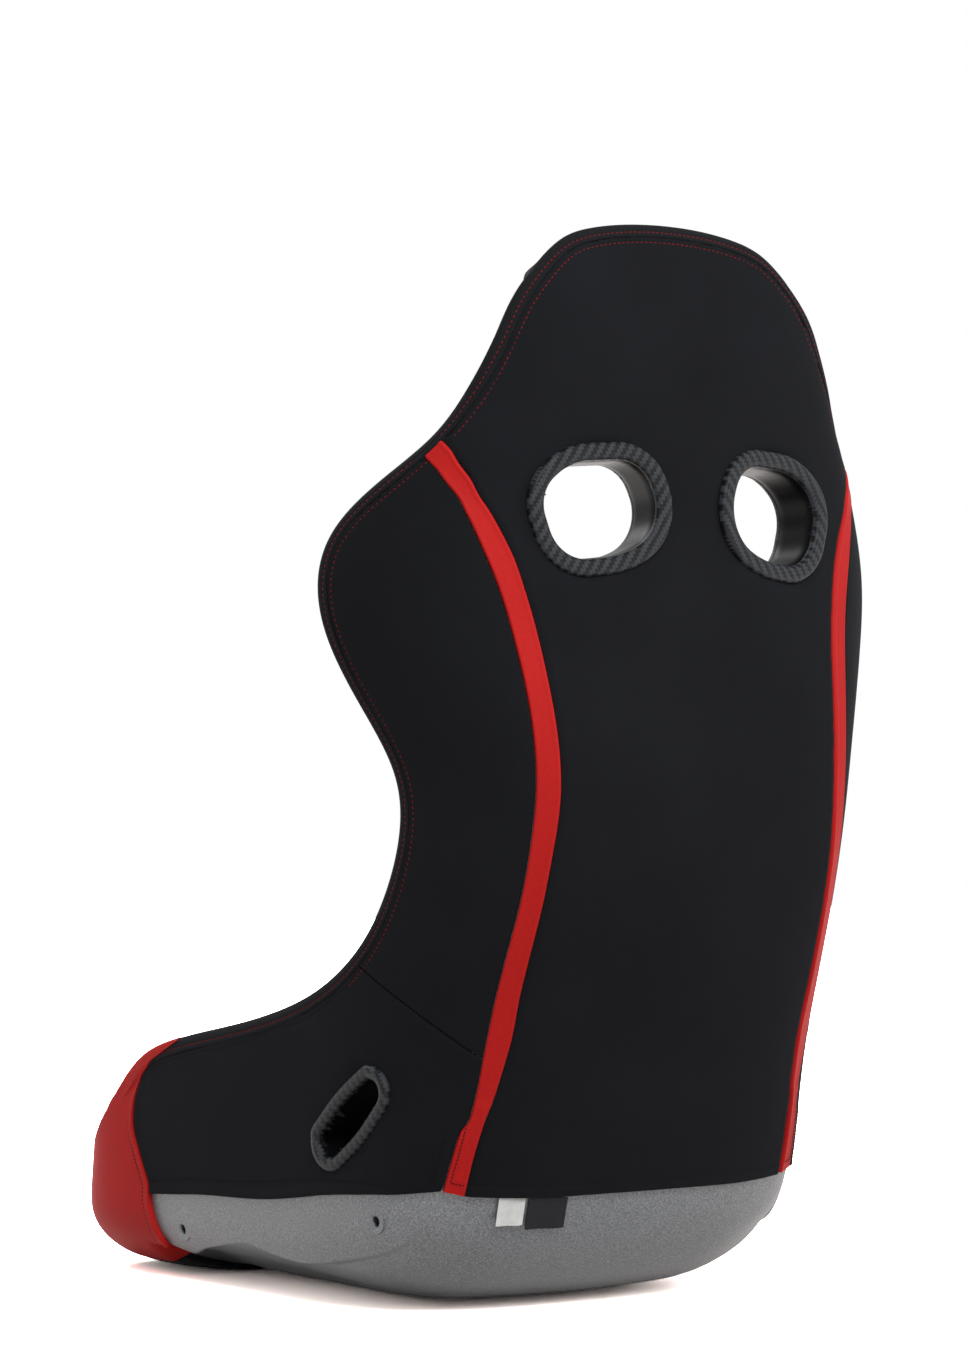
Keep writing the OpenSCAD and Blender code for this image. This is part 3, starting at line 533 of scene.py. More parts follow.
# ---- finishes ------------------------------------------------------------------------------------
class Finish:
    """A material and short ways to add and join its nodes."""

    def __init__(self, name):
        self.material = bpy.data.materials.new(name)
        self.material.use_nodes = True
        self.tree = self.material.node_tree
        self.shader = self.tree.nodes["Principled BSDF"]

    def add(self, kind, inputs=None, **settings):
        """Adds a node, sets its attributes and its inputs, and returns it."""
        node = self.tree.nodes.new(kind)
        for key, value in settings.items():
            setattr(node, key, value)
        for key, value in (inputs or {}).items():
            self.set(node.inputs[key], value)
        return node

    def set(self, socket, value):
        """Links another socket, or writes a plain value."""
        if isinstance(value, bpy.types.NodeSocket):
            self.tree.links.new(value, socket)
        else:
            socket.default_value = value

    def maths(self, operation, a, b=0.0):
        """One Math node."""
        return self.add("ShaderNodeMath", {0: a, 1: b}, operation=operation).outputs[0]

    def blend(self, first, *others):
        """Sum of values, each times its weight."""
        total = self.maths("MULTIPLY", *first)
        for value, weight in others:
            inputs = {0: value, 1: weight, 2: total}
            total = self.add("ShaderNodeMath", inputs, operation="MULTIPLY_ADD").outputs[0]
        return total

    def place(self, kind="Object", scale=(1, 1, 1), turn=(0, 0, 0)):
        """Coordinates on the object or on its own map, scaled and turned."""
        coordinates = self.add("ShaderNodeTexCoord").outputs[kind]
        return self.add("ShaderNodeMapping", {"Vector": coordinates, "Scale": scale, "Rotation": turn}).outputs[0]

    def noise(self, place, scale, detail=2.0, rough=0.5):
        """Noise texture's value."""
        values = {"Vector": place, "Scale": scale, "Detail": detail, "Roughness": rough}
        return self.add("ShaderNodeTexNoise", values).outputs[0]

    def cells(self, place, scale, feature="F1", random=1.0):
        """Voronoi texture's distance."""
        values = {"Vector": place, "Scale": scale, "Randomness": random}
        node = self.add("ShaderNodeTexVoronoi", values, feature=feature)
        return node.outputs["Distance"]

    def ramp(self, value, *stops):
        """Colour ramp over (place, colour) stops."""
        node = self.add("ShaderNodeValToRGB", {0: value})
        ramp = node.color_ramp
        while len(ramp.elements) < len(stops):
            ramp.elements.new(0.5)
        for element, (where, colour) in zip(ramp.elements, stops):
            element.position = where
            element.color = (*colour, 1) if len(colour) == 3 else (colour[0],) * 3 + (1,)
        return node.outputs[0]

    def mix(self, share, first, second):
        """Blends two colours by a share."""
        node = self.add("ShaderNodeMix", {0: share}, data_type="RGBA")
        self.set(node.inputs[6], first)
        self.set(node.inputs[7], second)
        return node.outputs[2]

    def range(self, value, low, high):
        """Maps 0 to 1 onto low to high."""
        return self.add("ShaderNodeMapRange", {0: value, 3: low, 4: high}).outputs[0]

    def shine(self, colour=None, rough=None, bump=None, strength=0.3, depth=0.0005, **sockets):
        """Sets the shader: colour, roughness, bump of a height in metres, and any flat socket by name."""
        if colour is not None:
            self.set(self.shader.inputs["Base Color"], colour)
        if rough is not None:
            self.set(self.shader.inputs["Roughness"], rough)
        if bump is not None:
            node = self.add("ShaderNodeBump", {"Height": bump, "Strength": strength, "Distance": depth})
            self.set(self.shader.inputs["Normal"], node.outputs[0])
        for key, value in sockets.items():
            self.set(self.shader.inputs[key.replace("_", " ").title().replace("Ior", "IOR")], value)
        return self.material


def shade(colour, factor):
    """A colour times a factor."""
    return tuple(c * factor for c in colour[:3])


def knit_height(finish, wale=1.15, course=0.85):
    """Loops of a plain knit: rounded columns one wale wide, in which slanted courses rise and fall."""
    place = finish.place("UV", (1000 / wale, 1000 / course, 1))
    parts = finish.add("ShaderNodeSeparateXYZ", {0: place})
    across, down = parts.outputs[0], parts.outputs[1]
    column = finish.maths("ABSOLUTE", finish.maths("SINE", finish.maths("MULTIPLY", across, math.pi)))
    slant = finish.maths("MULTIPLY", finish.maths("PINGPONG", across, 0.5), 1.2)
    course = finish.maths("SINE", finish.maths("MULTIPLY", finish.maths("ADD", down, slant), 2 * math.pi))
    rise = finish.maths("MULTIPLY_ADD", course, 0.3)
    rise.node.inputs[2].default_value = 0.7
    return finish.maths("MULTIPLY", column, rise)


def make_finishes(looks):
    """All materials of the seat, by name."""
    made = {}

    # key, name, colour, loops, scales of clouds and fuzz, weights, shades, roughness, bump, sheen
    for key, name, colour, loop, (clouds, hairs), (a, b, c), (dark, pale), rough, bump, sheen in (
        ("knit", "knit_fabric", looks.knit_colour, (1.15, 0.85), (9, 1400), (0.35, 0.5, 0.35), (0.55, 1.45),
         (0.82, 0.97), (0.35, 0.00035), (0.02, (0.62, 0.68, 0.80, 1), 0.06)),
        ("pad", "pad_fabric", looks.pad_colour, (1.6, 1.2), (12, 1100), (0.4, 0.5, 0.3), (0.6, 1.5),
         (0.8, 0.96), (0.45, 0.0005), (0.05, (0.6, 0.62, 0.7, 1), 0.12)),
    ):
        f = Finish(name)
        loops, cloud, fuzz = knit_height(f, *loop), f.noise(f.place(), clouds, 3), f.noise(f.place(), hairs, 1)
        tone = f.blend((loops, a), (cloud, b), (fuzz, c))
        made[key] = f.shine(
            f.ramp(tone, (0.25, shade(colour, dark)), (0.95, shade(colour, pale))),
            f.range(fuzz, *rough), f.blend((loops, 1.0), (fuzz, 0.5)), *bump,
            sheen_weight=sheen[0], sheen_roughness=0.4, sheen_tint=sheen[1], specular_ior_level=sheen[2],
        )

    f = Finish("mesh_insert")
    place = f.place("UV", (1000 / 3.4, 1000 / 3.4, 1))
    net = f.ramp(f.cells(place, 1.0, random=0.0), (0.16, (0.0,)), (0.34, (1.0,)))
    tone = f.maths("MULTIPLY", net, f.range(f.noise(f.place(), 14, 3), 0.7, 1.0))
    made["insert"] = f.shine(
        f.ramp(tone, (0.0, shade(looks.pad_colour, 0.25)), (1.0, shade(looks.pad_colour, 1.6))),
        0.85, net, 0.5, 0.0006, sheen_weight=0.1, sheen_roughness=0.5, specular_ior_level=0.3,
    )

    f = Finish("red_leather")
    place = f.place()
    grain = f.cells(place, 620, "SMOOTH_F1")
    fine = f.noise(place, 1700, 2)
    cloud = f.noise(place, 14, 3)
    creases = f.noise(f.place(scale=(1, 1, 0.35)), 90, 4, 0.6)
    tone = f.blend((cloud, 0.6), (grain, 0.35), (creases, 0.25))
    made["red"] = f.shine(
        f.ramp(tone, (0.2, shade(looks.leather_colour, 0.84)), (0.95, shade(looks.leather_colour, 1.14))),
        f.range(f.blend((fine, 0.6), (cloud, 0.4)), 0.42, 0.62),
        f.blend((grain, 0.8), (fine, 0.25), (creases, 0.5)), 0.22, 0.0005, specular_ior_level=0.07,
    )

    f = Finish("edge_binding")
    loops = knit_height(f, 1.1, 0.8)
    fuzz = f.noise(f.place(), 1500, 1)
    made["binding"] = f.shine(
        f.ramp(
            f.blend((loops, 0.5), (fuzz, 0.5)),
            (0.2, shade(looks.knit_colour, 0.5)), (0.9, shade(looks.knit_colour, 1.35)),
        ),
        0.9, f.maths("ADD", loops, fuzz), 0.3, 0.0003,
        sheen_weight=0.05, sheen_roughness=0.4, sheen_tint=(0.62, 0.68, 0.80, 1), specular_ior_level=0.12,
    )

    f = Finish("stone_gel_coat")
    place = f.place()
    grit = f.noise(place, 620, 3, 0.75)
    tone = f.blend((grit, 0.75), (f.noise(place, 7, 3), 0.12), (f.cells(place, 900), 0.14))
    made["tub"] = f.shine(
        f.ramp(tone, *((at, shade(looks.tub_colour, k)) for at, k in ((0.34, 0.42), (0.5, 0.95), (0.66, 1.75)))),
        f.range(grit, 0.38, 0.6), f.blend((grit, 1.0), (f.noise(place, 60, 2), 0.8)), 0.22, 0.0004,
        metallic=0.25, specular_ior_level=0.45, coat_weight=0.12, coat_roughness=0.3,
    )

    f = Finish("twill_ring")
    place = f.place("UV", (1000 / 2.6, 1000 / 2.6, 1), (0, 0, math.radians(12)))
    parts = f.add("ShaderNodeSeparateXYZ", {0: place})
    across, up = parts.outputs[0], parts.outputs[1]
    step = f.maths("ADD", f.maths("FLOOR", across), f.maths("FLOOR", up))
    over = f.maths("LESS_THAN", f.maths("FLOORED_MODULO", step, 4.0), 2.0)
    warp = f.maths("ABSOLUTE", f.maths("SINE", f.maths("MULTIPLY", across, math.pi)))
    weft = f.maths("ABSOLUTE", f.maths("SINE", f.maths("MULTIPLY", up, math.pi)))
    weave = f.blend((warp, over), (weft, f.maths("SUBTRACT", 1.0, over)))
    tone = f.blend((over, 0.62), (f.maths("MULTIPLY", weave, f.noise(f.place(), 2600, 1)), 0.45))
    made["ring"] = f.shine(
        f.ramp(tone, (0.2, shade(looks.ring_colour, 0.18)), (0.8, shade(looks.ring_colour, 1.5))),
        f.range(over, 0.4, 0.55), weave, 0.35, 0.0003, specular_ior_level=0.16,
    )

    f = Finish("tunnel_plastic")
    place = f.place()
    made["tunnel"] = f.shine(
        f.ramp(f.noise(place, 40, 3), (0.3, (0.003, 0.003, 0.0035)), (0.8, (0.007, 0.007, 0.008))),
        f.range(f.noise(place, 300, 2), 0.3, 0.42), f.noise(place, 220, 2), 0.12, 0.0004, specular_ior_level=0.07,
    )

    f = Finish("zinc_steel")
    place = f.place()
    made["steel"] = f.shine(
        f.ramp(f.noise(place, 160, 4, 0.6), (0.3, (0.34, 0.35, 0.36)), (0.75, (0.60, 0.61, 0.62))),
        f.range(f.noise(place, 500, 2), 0.28, 0.5), f.noise(place, 900, 2), 0.1, 0.0002, metallic=1.0,
    )

    for key, name, colour in (
        ("label_white", "label_satin", (0.84, 0.84, 0.82)),
        ("label_black", "label_taffeta", (0.0085, 0.0090, 0.0115)),
    ):
        f = Finish(name)
        place = f.place("UV", (1000 / 0.5, 1000 / 0.5, 1))
        weave = f.add("ShaderNodeTexChecker", {"Vector": place, "Scale": 1.0}).outputs[1]
        cloud = f.noise(f.place(), 120, 2)
        made[key] = f.shine(
            f.ramp(cloud, (0.3, shade(colour, 0.88)), (0.8, shade(colour, 1.08))), 0.6, weave, 0.15, 0.0002,
            specular_ior_level=0.18,
        )

    for key, name, colour in (
        ("thread_red", "red_thread", looks.thread_colour),
        ("thread_black", "black_thread", (0.0045, 0.0045, 0.005)),
    ):
        f = Finish(name)
        place = f.place()
        twist = f.noise(place, 2200, 1)
        made[key] = f.shine(
            f.ramp(twist, (0.3, shade(colour, 0.7)), (0.75, shade(colour, 1.25))), 0.8, twist, 0.4, 0.0003,
            specular_ior_level=0.1,
        )
    return made


FINISHES = {}


def finish(key, context):
    """The named material, made with the scene's colours the first time."""
    if not FINISHES:
        FINISHES.update(make_finishes(context.scene.seat_looks))
    return FINISHES[key]


def add_piece(context, name, mesh, key, *replaces):
    """Makes the object, gives it its finish, rides it on the one body and says which solids it stands for."""
    piece = bpy.data.objects.new(name, mesh)
    context.scene.collection.objects.link(piece)
    mesh.materials.append(finish(key, context))
    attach(piece, "root")
    if replaces:
        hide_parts(*replaces)
    return piece


def add_sheet(context, name, outer, inner, uv, key, node, mirrored=False, keep=None):
    """Closes the space between two grids into a piece, with the same flat map on both faces."""
    points, faces = slab(outer, inner, keep)
    points = points * FLIP if mirrored else points
    mesh = fill_mesh(name, points, faces, uv=np.concatenate([uv, uv]).reshape(-1, 2))
    return add_piece(context, name, mesh, key, node)


# ---- covers --------------------------------------------------------------------------------------
UNDER = 1.1  # height of a cover under the binding
INNER = 0.9  # height of a cover's inner face
CELL = 4.6  # length of a cover's cells away from its borders
# distances in mm from a border at which a cover has its rows or columns
NEAR_SEAM = (0, 0.3, 0.8, 1.5, 2.4, 3.6, 5.2, 7.2)
NEAR_RIM = (0, 4, 8, 9.4, 10.1, 10.6, 11.2, 12, 13, 14.2, 15, 15.8, 17, 20)
NEAR_HEM = (0, 0.4, 1.0, 1.8, 3, 5, 7, 8.2, 9, 9.8, 11, 13)


def cover_heights(gap, seams, hems, sizes):
    """Height of a cover over the tub: full in the middle, rounded down at its seams, thicker in its hems with a
    furrow at their stitches, and low under the binding with a groove and a furrow beside it."""
    full = sizes.cover_height
    height = np.full(gap.shape, full)
    for d in seams:
        height = np.minimum(height, round_off(d, 2.2, 1.0, full)) + 0.3 * np.exp(-(((d - 5) / 3) ** 2))
    for d in hems:
        height = height + 0.7 * ease((10.5 - d) / 2) + furrow(d, 9, 0.8, 0.7)
        height = np.minimum(height, round_off(d, 1.4, 1.6, 9))
    height = np.minimum(height, np.where(gap < 10.2, UNDER, round_off(gap - 10.2, 1.9, UNDER, 9)))
    return height + furrow(gap, 15, 0.9, 0.4) * (gap < 30)


def stripe_gap(points, u, v):
    """Distance in mm from points of the back to the nearer stripe's inner edge: zero at and past the edge."""
    rows = np.linspace(STRIPE_START, STRIPE_END, 700)
    edge = surface(rows, stripe_inner(rows))
    flat, high = (points * flipped(v)).reshape(-1, 3), np.abs(v).ravel()
    gap = np.full(len(flat), 99.0)
    near = np.nonzero((u.ravel() > 4.2) & (high > stripe_inner(u.ravel()) - 1.6))[0]
    for part in np.array_split(near, max(1, len(near) // 2000)):
        if len(part):
            gap[part] = np.sqrt(((flat[part, None] - edge[None]) ** 2).sum(-1)).min(1)
    past = (u.ravel() >= STRIPE_START) & (high >= stripe_inner(u.ravel()))
    return np.where(past, 0, gap).reshape(u.shape)


def build_back_cover(context):
    """The back cover from the head's rim to the hem: rows by arc length along the middle, columns between the
    two borders, which are the rim over the head and the stripes below it."""
    sizes = context.scene.seat_sizes
    middle = np.linspace(0, BACK_HEM, 1600)
    run = runs(surface(middle, np.zeros(1600)))
    rows = np.interp(marks(run[-1], NEAR_RIM, NEAR_HEM, CELL) * run[-1], run, middle)
    close = 4.9, 5.9  # rows where the border leaves the rim for the stripe
    rows = np.sort(np.concatenate([rows[(rows < close[0]) | (rows > close[1])], np.linspace(*close, 36)]))
    border = np.where(rows < STRIPE_START, RIM, stripe_inner(rows) - SEAM)
    border = border + (RIM - border) * (1 - ease((rows - STRIPE_START) / 0.9))
    across = surface(np.repeat(rows[:, None], 60, 1), border[:, None] * np.linspace(0, 1, 60))
    wide = runs(across, 1)[:, -1:]
    near = np.array(NEAR_RIM + (25, 31, 38))
    half = np.concatenate([np.arange(26) / 26 * (1 - 42 / wide), 1 - near[::-1] / wide], axis=1)
    v = np.concatenate([-half[:, :0:-1], half], axis=1) * border[:, None]
    u = rows[:, None] + (back_hem(v) - BACK_HEM) * ease((rows - 14) / (BACK_HEM - 14))[:, None]
    base = face(u, v)
    down = border_gaps(base)[3]
    height = cover_heights(rim_gap(u, v), [stripe_gap(base, u, v)], [down], sizes)
    outer = at(u, v, height)
    inner_face = at(u, v, INNER)
    keep = None
    for mirrored in (False, True):
        outer, inside = seat_under_rings(outer, SHOULDER_PLACE, mirrored)
        cells = open_cells(inside)
        keep = cells if keep is None else keep & cells
    inner_face = kept_behind(outer, inner_face, u, v, 1.2, 1.0)
    add_sheet(context, "back_cover_cloth", outer, inner_face, flat_map(base), "knit", "back_cover", keep=keep)


def side_grid(top, bottom, lower, length):
    """Rows and columns of a side cover: rows between two slanted seams, columns from its lower border, which is
    a stripe or a hem, to the rim."""
    across = runs(surface(np.full(50, 12.0), np.linspace(3.5, RIM, 50)))[-1]
    s = marks(length, NEAR_SEAM, NEAR_SEAM, CELL)[:, None]
    t = marks(across, NEAR_SEAM, NEAR_RIM, CELL)[None, :]
    v = 3.5 + 3.5 * t
    for _ in range(3):
        u = top(v) + s * (bottom(v) - top(v))
        border = lower(u)
        v = border + t * (RIM - border)
    return u, v


def build_side(context, name, node, u, v, seams, mirrored, hem=None, opening=False):
    """A side cover on the left, or mirrored on the right."""
    sizes = context.scene.seat_sizes
    base = surface(u, v)
    low, _, top, bottom = border_gaps(base)
    given = {"low": low, "top": top, "bottom": bottom}
    height = cover_heights(rim_gap(u, v), [given[k] for k in seams], [hem(u, low)] if hem else [], sizes)
    outer, inner_face = at(u, v, height), at(u, v, INNER)
    keep = None
    if opening:
        outer, inside = seat_under_rings(outer, LAP_PLACE, False)
        keep = open_cells(inside, 3.4)
        inner_face = kept_behind(outer, inner_face, u, v, 1.2, 1.0)
    add_sheet(context, name, outer, inner_face, flat_map(base, 0), "knit", node, mirrored, keep)


def build_sides(context):
    """Upper and lower side covers on both sides."""
    upper = side_grid(
        lambda v: 5.36 + 0 * v, lambda v: side_seam(v) - SEAM, lambda u: stripe_outer(u) + SEAM, 520,
    )
    lower = side_grid(
        lambda v: side_seam(v) + SEAM, lambda v: along_table(v, CAP_EDGE) - 0.006,
        lambda u: side_border(u) + SEAM, 400,
    )
    for mirrored, side in ((False, "left"), (True, "right")):
        build_side(
            context, f"upper_side_cloth_{side}", f"upper_side_{side}", *upper, ("low", "bottom"), mirrored,
        )
        build_side(
            context, f"lower_side_cloth_{side}", f"lower_side_{side}", *lower, ("low", "top", "bottom"), mirrored,
            lambda u, low: np.where(u > 15.75, low, 99), True,
        )


def build_stripes(context):
    """A leather stripe: a grid between its inner and its outer edge, station by station, with both edges rolled
    and a crease where its ends are folded and sewn."""
    sizes = context.scene.seat_sizes
    station = np.arange(len(STRIPE), dtype=float)
    fine = np.linspace(0, len(STRIPE) - 1, 900)
    curve = np.stack([along_table(fine, np.column_stack([station, STRIPE[:, k]])) for k in range(4)], -1)
    run = runs(surface((curve[:, 0] + curve[:, 2]) / 2, (curve[:, 1] + curve[:, 3]) / 2))
    s = marks(run[-1], (0, 1, 2, 3, 4, 5, 6, 7.5, 9.5), (0, 0.4, 1, 2, 3.5, 5, 6, 7, 8.5, 11), 2.6)
    curve = np.stack([np.interp(s * run[-1], run, curve[:, k]) for k in range(4)], -1)
    near_edge = (0, 0.25, 0.6, 1.1, 1.8, 2.6, 3.6, 5, 6.6)
    t = marks(20.0, near_edge, near_edge, 2)[None, :]
    inner, outer_edge = curve[:, None, :2] + [0, SEAM], curve[:, None, 2:] - [0, SEAM]
    grid = inner * (1 - t[..., None]) + outer_edge * t[..., None]
    u, v = grid[..., 0], grid[..., 1]
    base = surface(u, v)
    first, last, top, bottom = border_gaps(base)
    height = np.minimum(round_off(first, 1.7, 0.9, 3.75), round_off(last, 1.5, 0.9, 3.75))
    height += 0.75 * np.exp(-(((first - 2.7) / 1.5) ** 2)) + 0.3 * np.exp(-(((last - 2.3) / 1.4) ** 2))
    gap = rim_gap(u, v)
    height += 0.5 * ease((15.5 - gap) / 1.2) * (gap < 30) + furrow(gap, 15.6, 0.8, 0.6) * (gap < 30)
    height = np.minimum(height, np.where(gap < 9.6, UNDER, round_off(gap - 9.6, 1.2, UNDER, 9)))
    flap = ease((78 - bottom) / 2) * ease((first + last) * 0.24 - last + 14)
    height += 0.55 * flap
    height = np.minimum(height, round_off(bottom, 1.3, 1.4, 9))
    ripple = np.sin(bottom * 0.12 + first * 0.35) * np.exp(-(gap - 14) / 30)
    height += 0.12 * ripple * (gap < 80)
    for mirrored, side in ((False, "left"), (True, "right")):
        name, node = f"stripe_leather_{side}", f"stripe_{side}"
        add_sheet(context, name, at(u, v, height), at(u, v, INNER), flat_map(base), "red", node, mirrored)


def cap_rise(u):
    """Extra height in mm of the padding under the front caps and the flap."""
    return 5 * ease((u - 20.8) / 3) * (1 - 0.5 * ease((u - 24.3) / 2))


# rows past the front lip, over which a cover is folded to the inside: (row, drop of the outer face, inner face)
LIP = (
    (27.0, 0.0, 0.9), (27.05, 0.6, 0.9), (27.09, 1.8, 0.8), (27.11, 4, 0.0), (27.11, 8, -4), (27.09, 11, -7),
    (27.0, 13, -9),
)


def lip_rows(u, v, height):
    """Adds the rows that fold a cover over the front lip to its grid: rows, columns, outer and inner heights."""
    inner = np.full(u.shape, INNER)
    more = np.array(LIP[1:])
    u = np.concatenate([u, np.repeat(more[:, :1], u.shape[1], 1)])
    last = height[-1]
    height = np.concatenate([height, last[None, :] - more[:, 1:2]])
    inner = np.concatenate([inner, np.repeat(more[:, 2:], v.shape[1], 1)])
    inner = np.minimum(inner, height - 0.8)
    v = np.concatenate([v, np.repeat(v[-1:], len(more), 0)])
    return u, v, height, inner


# a cap's fold over the rim: outer face (reach past the rim, height), inner face (reach, height)
CAP_FOLD = (
    (0.5, 4.8, 0.3, 3.8), (1.9, 4.0, 1.4, 3.0), (3.0, 2.4, 2.1, 1.7), (3.6, 0.2, 2.7, 0), (3.7, -2.5, 2.8, -2.5),
    (3.7, -7, 2.8, -7), (3.6, -10.5, 2.7, -10.2), (3.0, -12.9, 2.2, -12.4), (1.8, -14.4, 1.2, -13.6),
    (0.3, -14.9, 0.2, -14.0),
)


def fold_over_rim(u, outer_height, reach, height):
    """Points past the rim on rows u: the edge's own directions times the reach and the height, which stays
    under the outer face's height."""
    edge, out = at(u, RIM, 0), facing(u, RIM)
    way = unit(edge - at(u, RIM - 0.1, 0))
    way = unit(way - (way * out).sum(-1, keepdims=True) * out)
    height = np.minimum(height[None, :], outer_height[:, None])
    return edge[:, None] + reach[None, :, None] * way[:, None] + height[..., None] * out[:, None]


def over_floor(points, low):
    """Lifts points that would lie under that height."""
    points = points.copy()
    points[..., 2] = np.maximum(points[..., 2], low)
    return points


def build_caps(context):
    """The red caps over the front of the thigh wings, folded over the rim and the front lip."""
    s = marks(175, NEAR_HEM, (0, 4), 3.6)[:, None]
    t = marks(150, NEAR_SEAM, NEAR_RIM, 3.6)[None, :]
    v = CAP_INNER + (RIM - CAP_INNER) * t + 0 * s
    edge = along_table(v, CAP_EDGE)
    u = edge + s * (LAST - edge)
    base = surface(u, v)
    low, _, rear, _ = border_gaps(base)
    gap = rim_gap(u, v)
    over = 3.9 * ease((14 - gap) / 3)
    height = np.maximum(3.3 + cap_rise(u), 1.0 + over)
    height += 0.35 * ease((8 - rear) / 2) + furrow(rear, 6.2, 0.8, 0.7)
    height = np.minimum(height, round_off(rear, 1.8, 1.0, 14) + over)
    height = np.minimum(height, round_off(low, 2.4, 1.0, 14))
    height = np.minimum(height, round_off(gap, 16, 4.9, 14))
    u, v, height, inner = lip_rows(u, v, height)
    fold = np.array(CAP_FOLD).T
    outer = np.concatenate([at(u, v, height), fold_over_rim(u[:, -1], height[:, -1], fold[0], fold[1])], 1)
    inside = np.concatenate([at(u, v, inner), fold_over_rim(u[:, -1], height[:, -1] - 0.9, fold[2], fold[3])], 1)
    uv = flat_map(outer)
    outer, inside = over_floor(outer, 1.0), over_floor(inside, 0.4)
    for mirrored, side in ((False, "left"), (True, "right")):
        add_sheet(context, f"front_cap_leather_{side}", outer, inside, uv, "red", f"front_cap_{side}", mirrored)


def build_flap(context):
    """The dark flap under the front lip, between the caps."""
    s = marks(170, NEAR_HEM, (0, 4), 5)[:, None]
    t = marks(330, NEAR_SEAM, NEAR_SEAM, 7)[None, :]
    u = FLAP_START + s * (LAST - FLAP_START) + 0 * t
    v = (CAP_INNER - 0.05) * (2 * t - 1) + 0 * s
    base = face(u, v)
    left, right, rear, _ = border_gaps(base)
    height = 2.6 + cap_rise(u)
    height = np.minimum(height, np.minimum(round_off(left, 2.4, 1.0, 14), round_off(right, 2.4, 1.0, 14)))
    height = np.minimum(height + furrow(rear, 9, 0.8, 0.6), round_off(rear, 1.6, 1.2, 14))
    u, v, height, inner = lip_rows(u, v, height)
    outer, inside = over_floor(at(u, v, height), 0.6), over_floor(at(u, v, inner), 0.2)
    add_sheet(context, "underside_flap_cloth", outer, inside, flat_map(at(u, v, 0)), "binding", "underside_flap")


# ---- binding along the rim -----------------------------------------------------------------------
# the loop of the binding: on the tub's face (distance from the rim, height), then past the rim (reach, height)
BINDING_FACE = (
    (0.7, 0.4), (4, 0.4), (8.8, 0.5), (9.9, 0.8), (10.1, 1.8), (9.8, 2.8), (9.1, 3.5), (8.0, 3.8), (6.9, 3.75),
    (6.3, 3.5), (6.0, 3.4), (5.7, 3.5), (5.1, 3.8), (3.8, 4.0), (2.2, 3.9), (0.9, 3.5),
)
BINDING_EDGE = (
    (0.5, 3.2), (1.5, 2.4), (2.3, 1.0), (2.6, -1.0), (2.6, -5.0), (2.5, -9), (2.1, -11.6), (1.2, -13.2),
    (0.2, -13.6), (-0.6, -13.2), (-0.7, -9), (-0.7, -4.5),
)


def build_binding(context):
    """One closed profile carried along the rim. On the tub's face each of its points follows a line that keeps
    its distance from the rim, and past the rim it follows the edge's own directions."""
    count = 460
    lines = {}
    for gap in sorted({p[0] for p in BINDING_FACE} | {0.0, 4.0}):
        lines[gap] = inset(gap, count)
    edge = at(*lines[0.0], 0)
    out = facing(*lines[0.0])
    way = unit(edge - at(*lines[4.0], 0))
    way = unit(way - (way * out).sum(-1, keepdims=True) * out)
    loop = [at(*lines[gap], height) for gap, height in BINDING_FACE]
    loop += [edge + reach * way + height * out for reach, height in BINDING_EDGE]
    half = np.stack(loop, 1)
    rings = np.concatenate([half[::-1], half[1:] * FLIP])
    points, quads, tris = tube(rings)
    girth, along = runs(rings[200])[None, :], runs(rings[:, 12])[:, None]
    uv = np.stack(np.broadcast_arrays(girth, along), -1).reshape(-1, 2)
    uv = np.concatenate([uv, [[0, 0], [0, 0]]])
    mesh = fill_mesh("edge_binding", points, quads, tris, uv)
    add_piece(context, "edge_binding", mesh, "binding", "edge_trim")


# ---- tub -----------------------------------------------------------------------------------------
MOUNT_REAR = np.array([200.0, 171, 78])  # left rear mounting hole
MOUNT_PITCH, MOUNT_TILT = 290, math.radians(6.3)
# the ground round a mounting hole: distance past the hole's centre, radius
MOUNT_GROUND = np.array([[-8.8, 10.0], [1.2, 10.0], [1.2, 4.6], [-8.8, 4.6]])


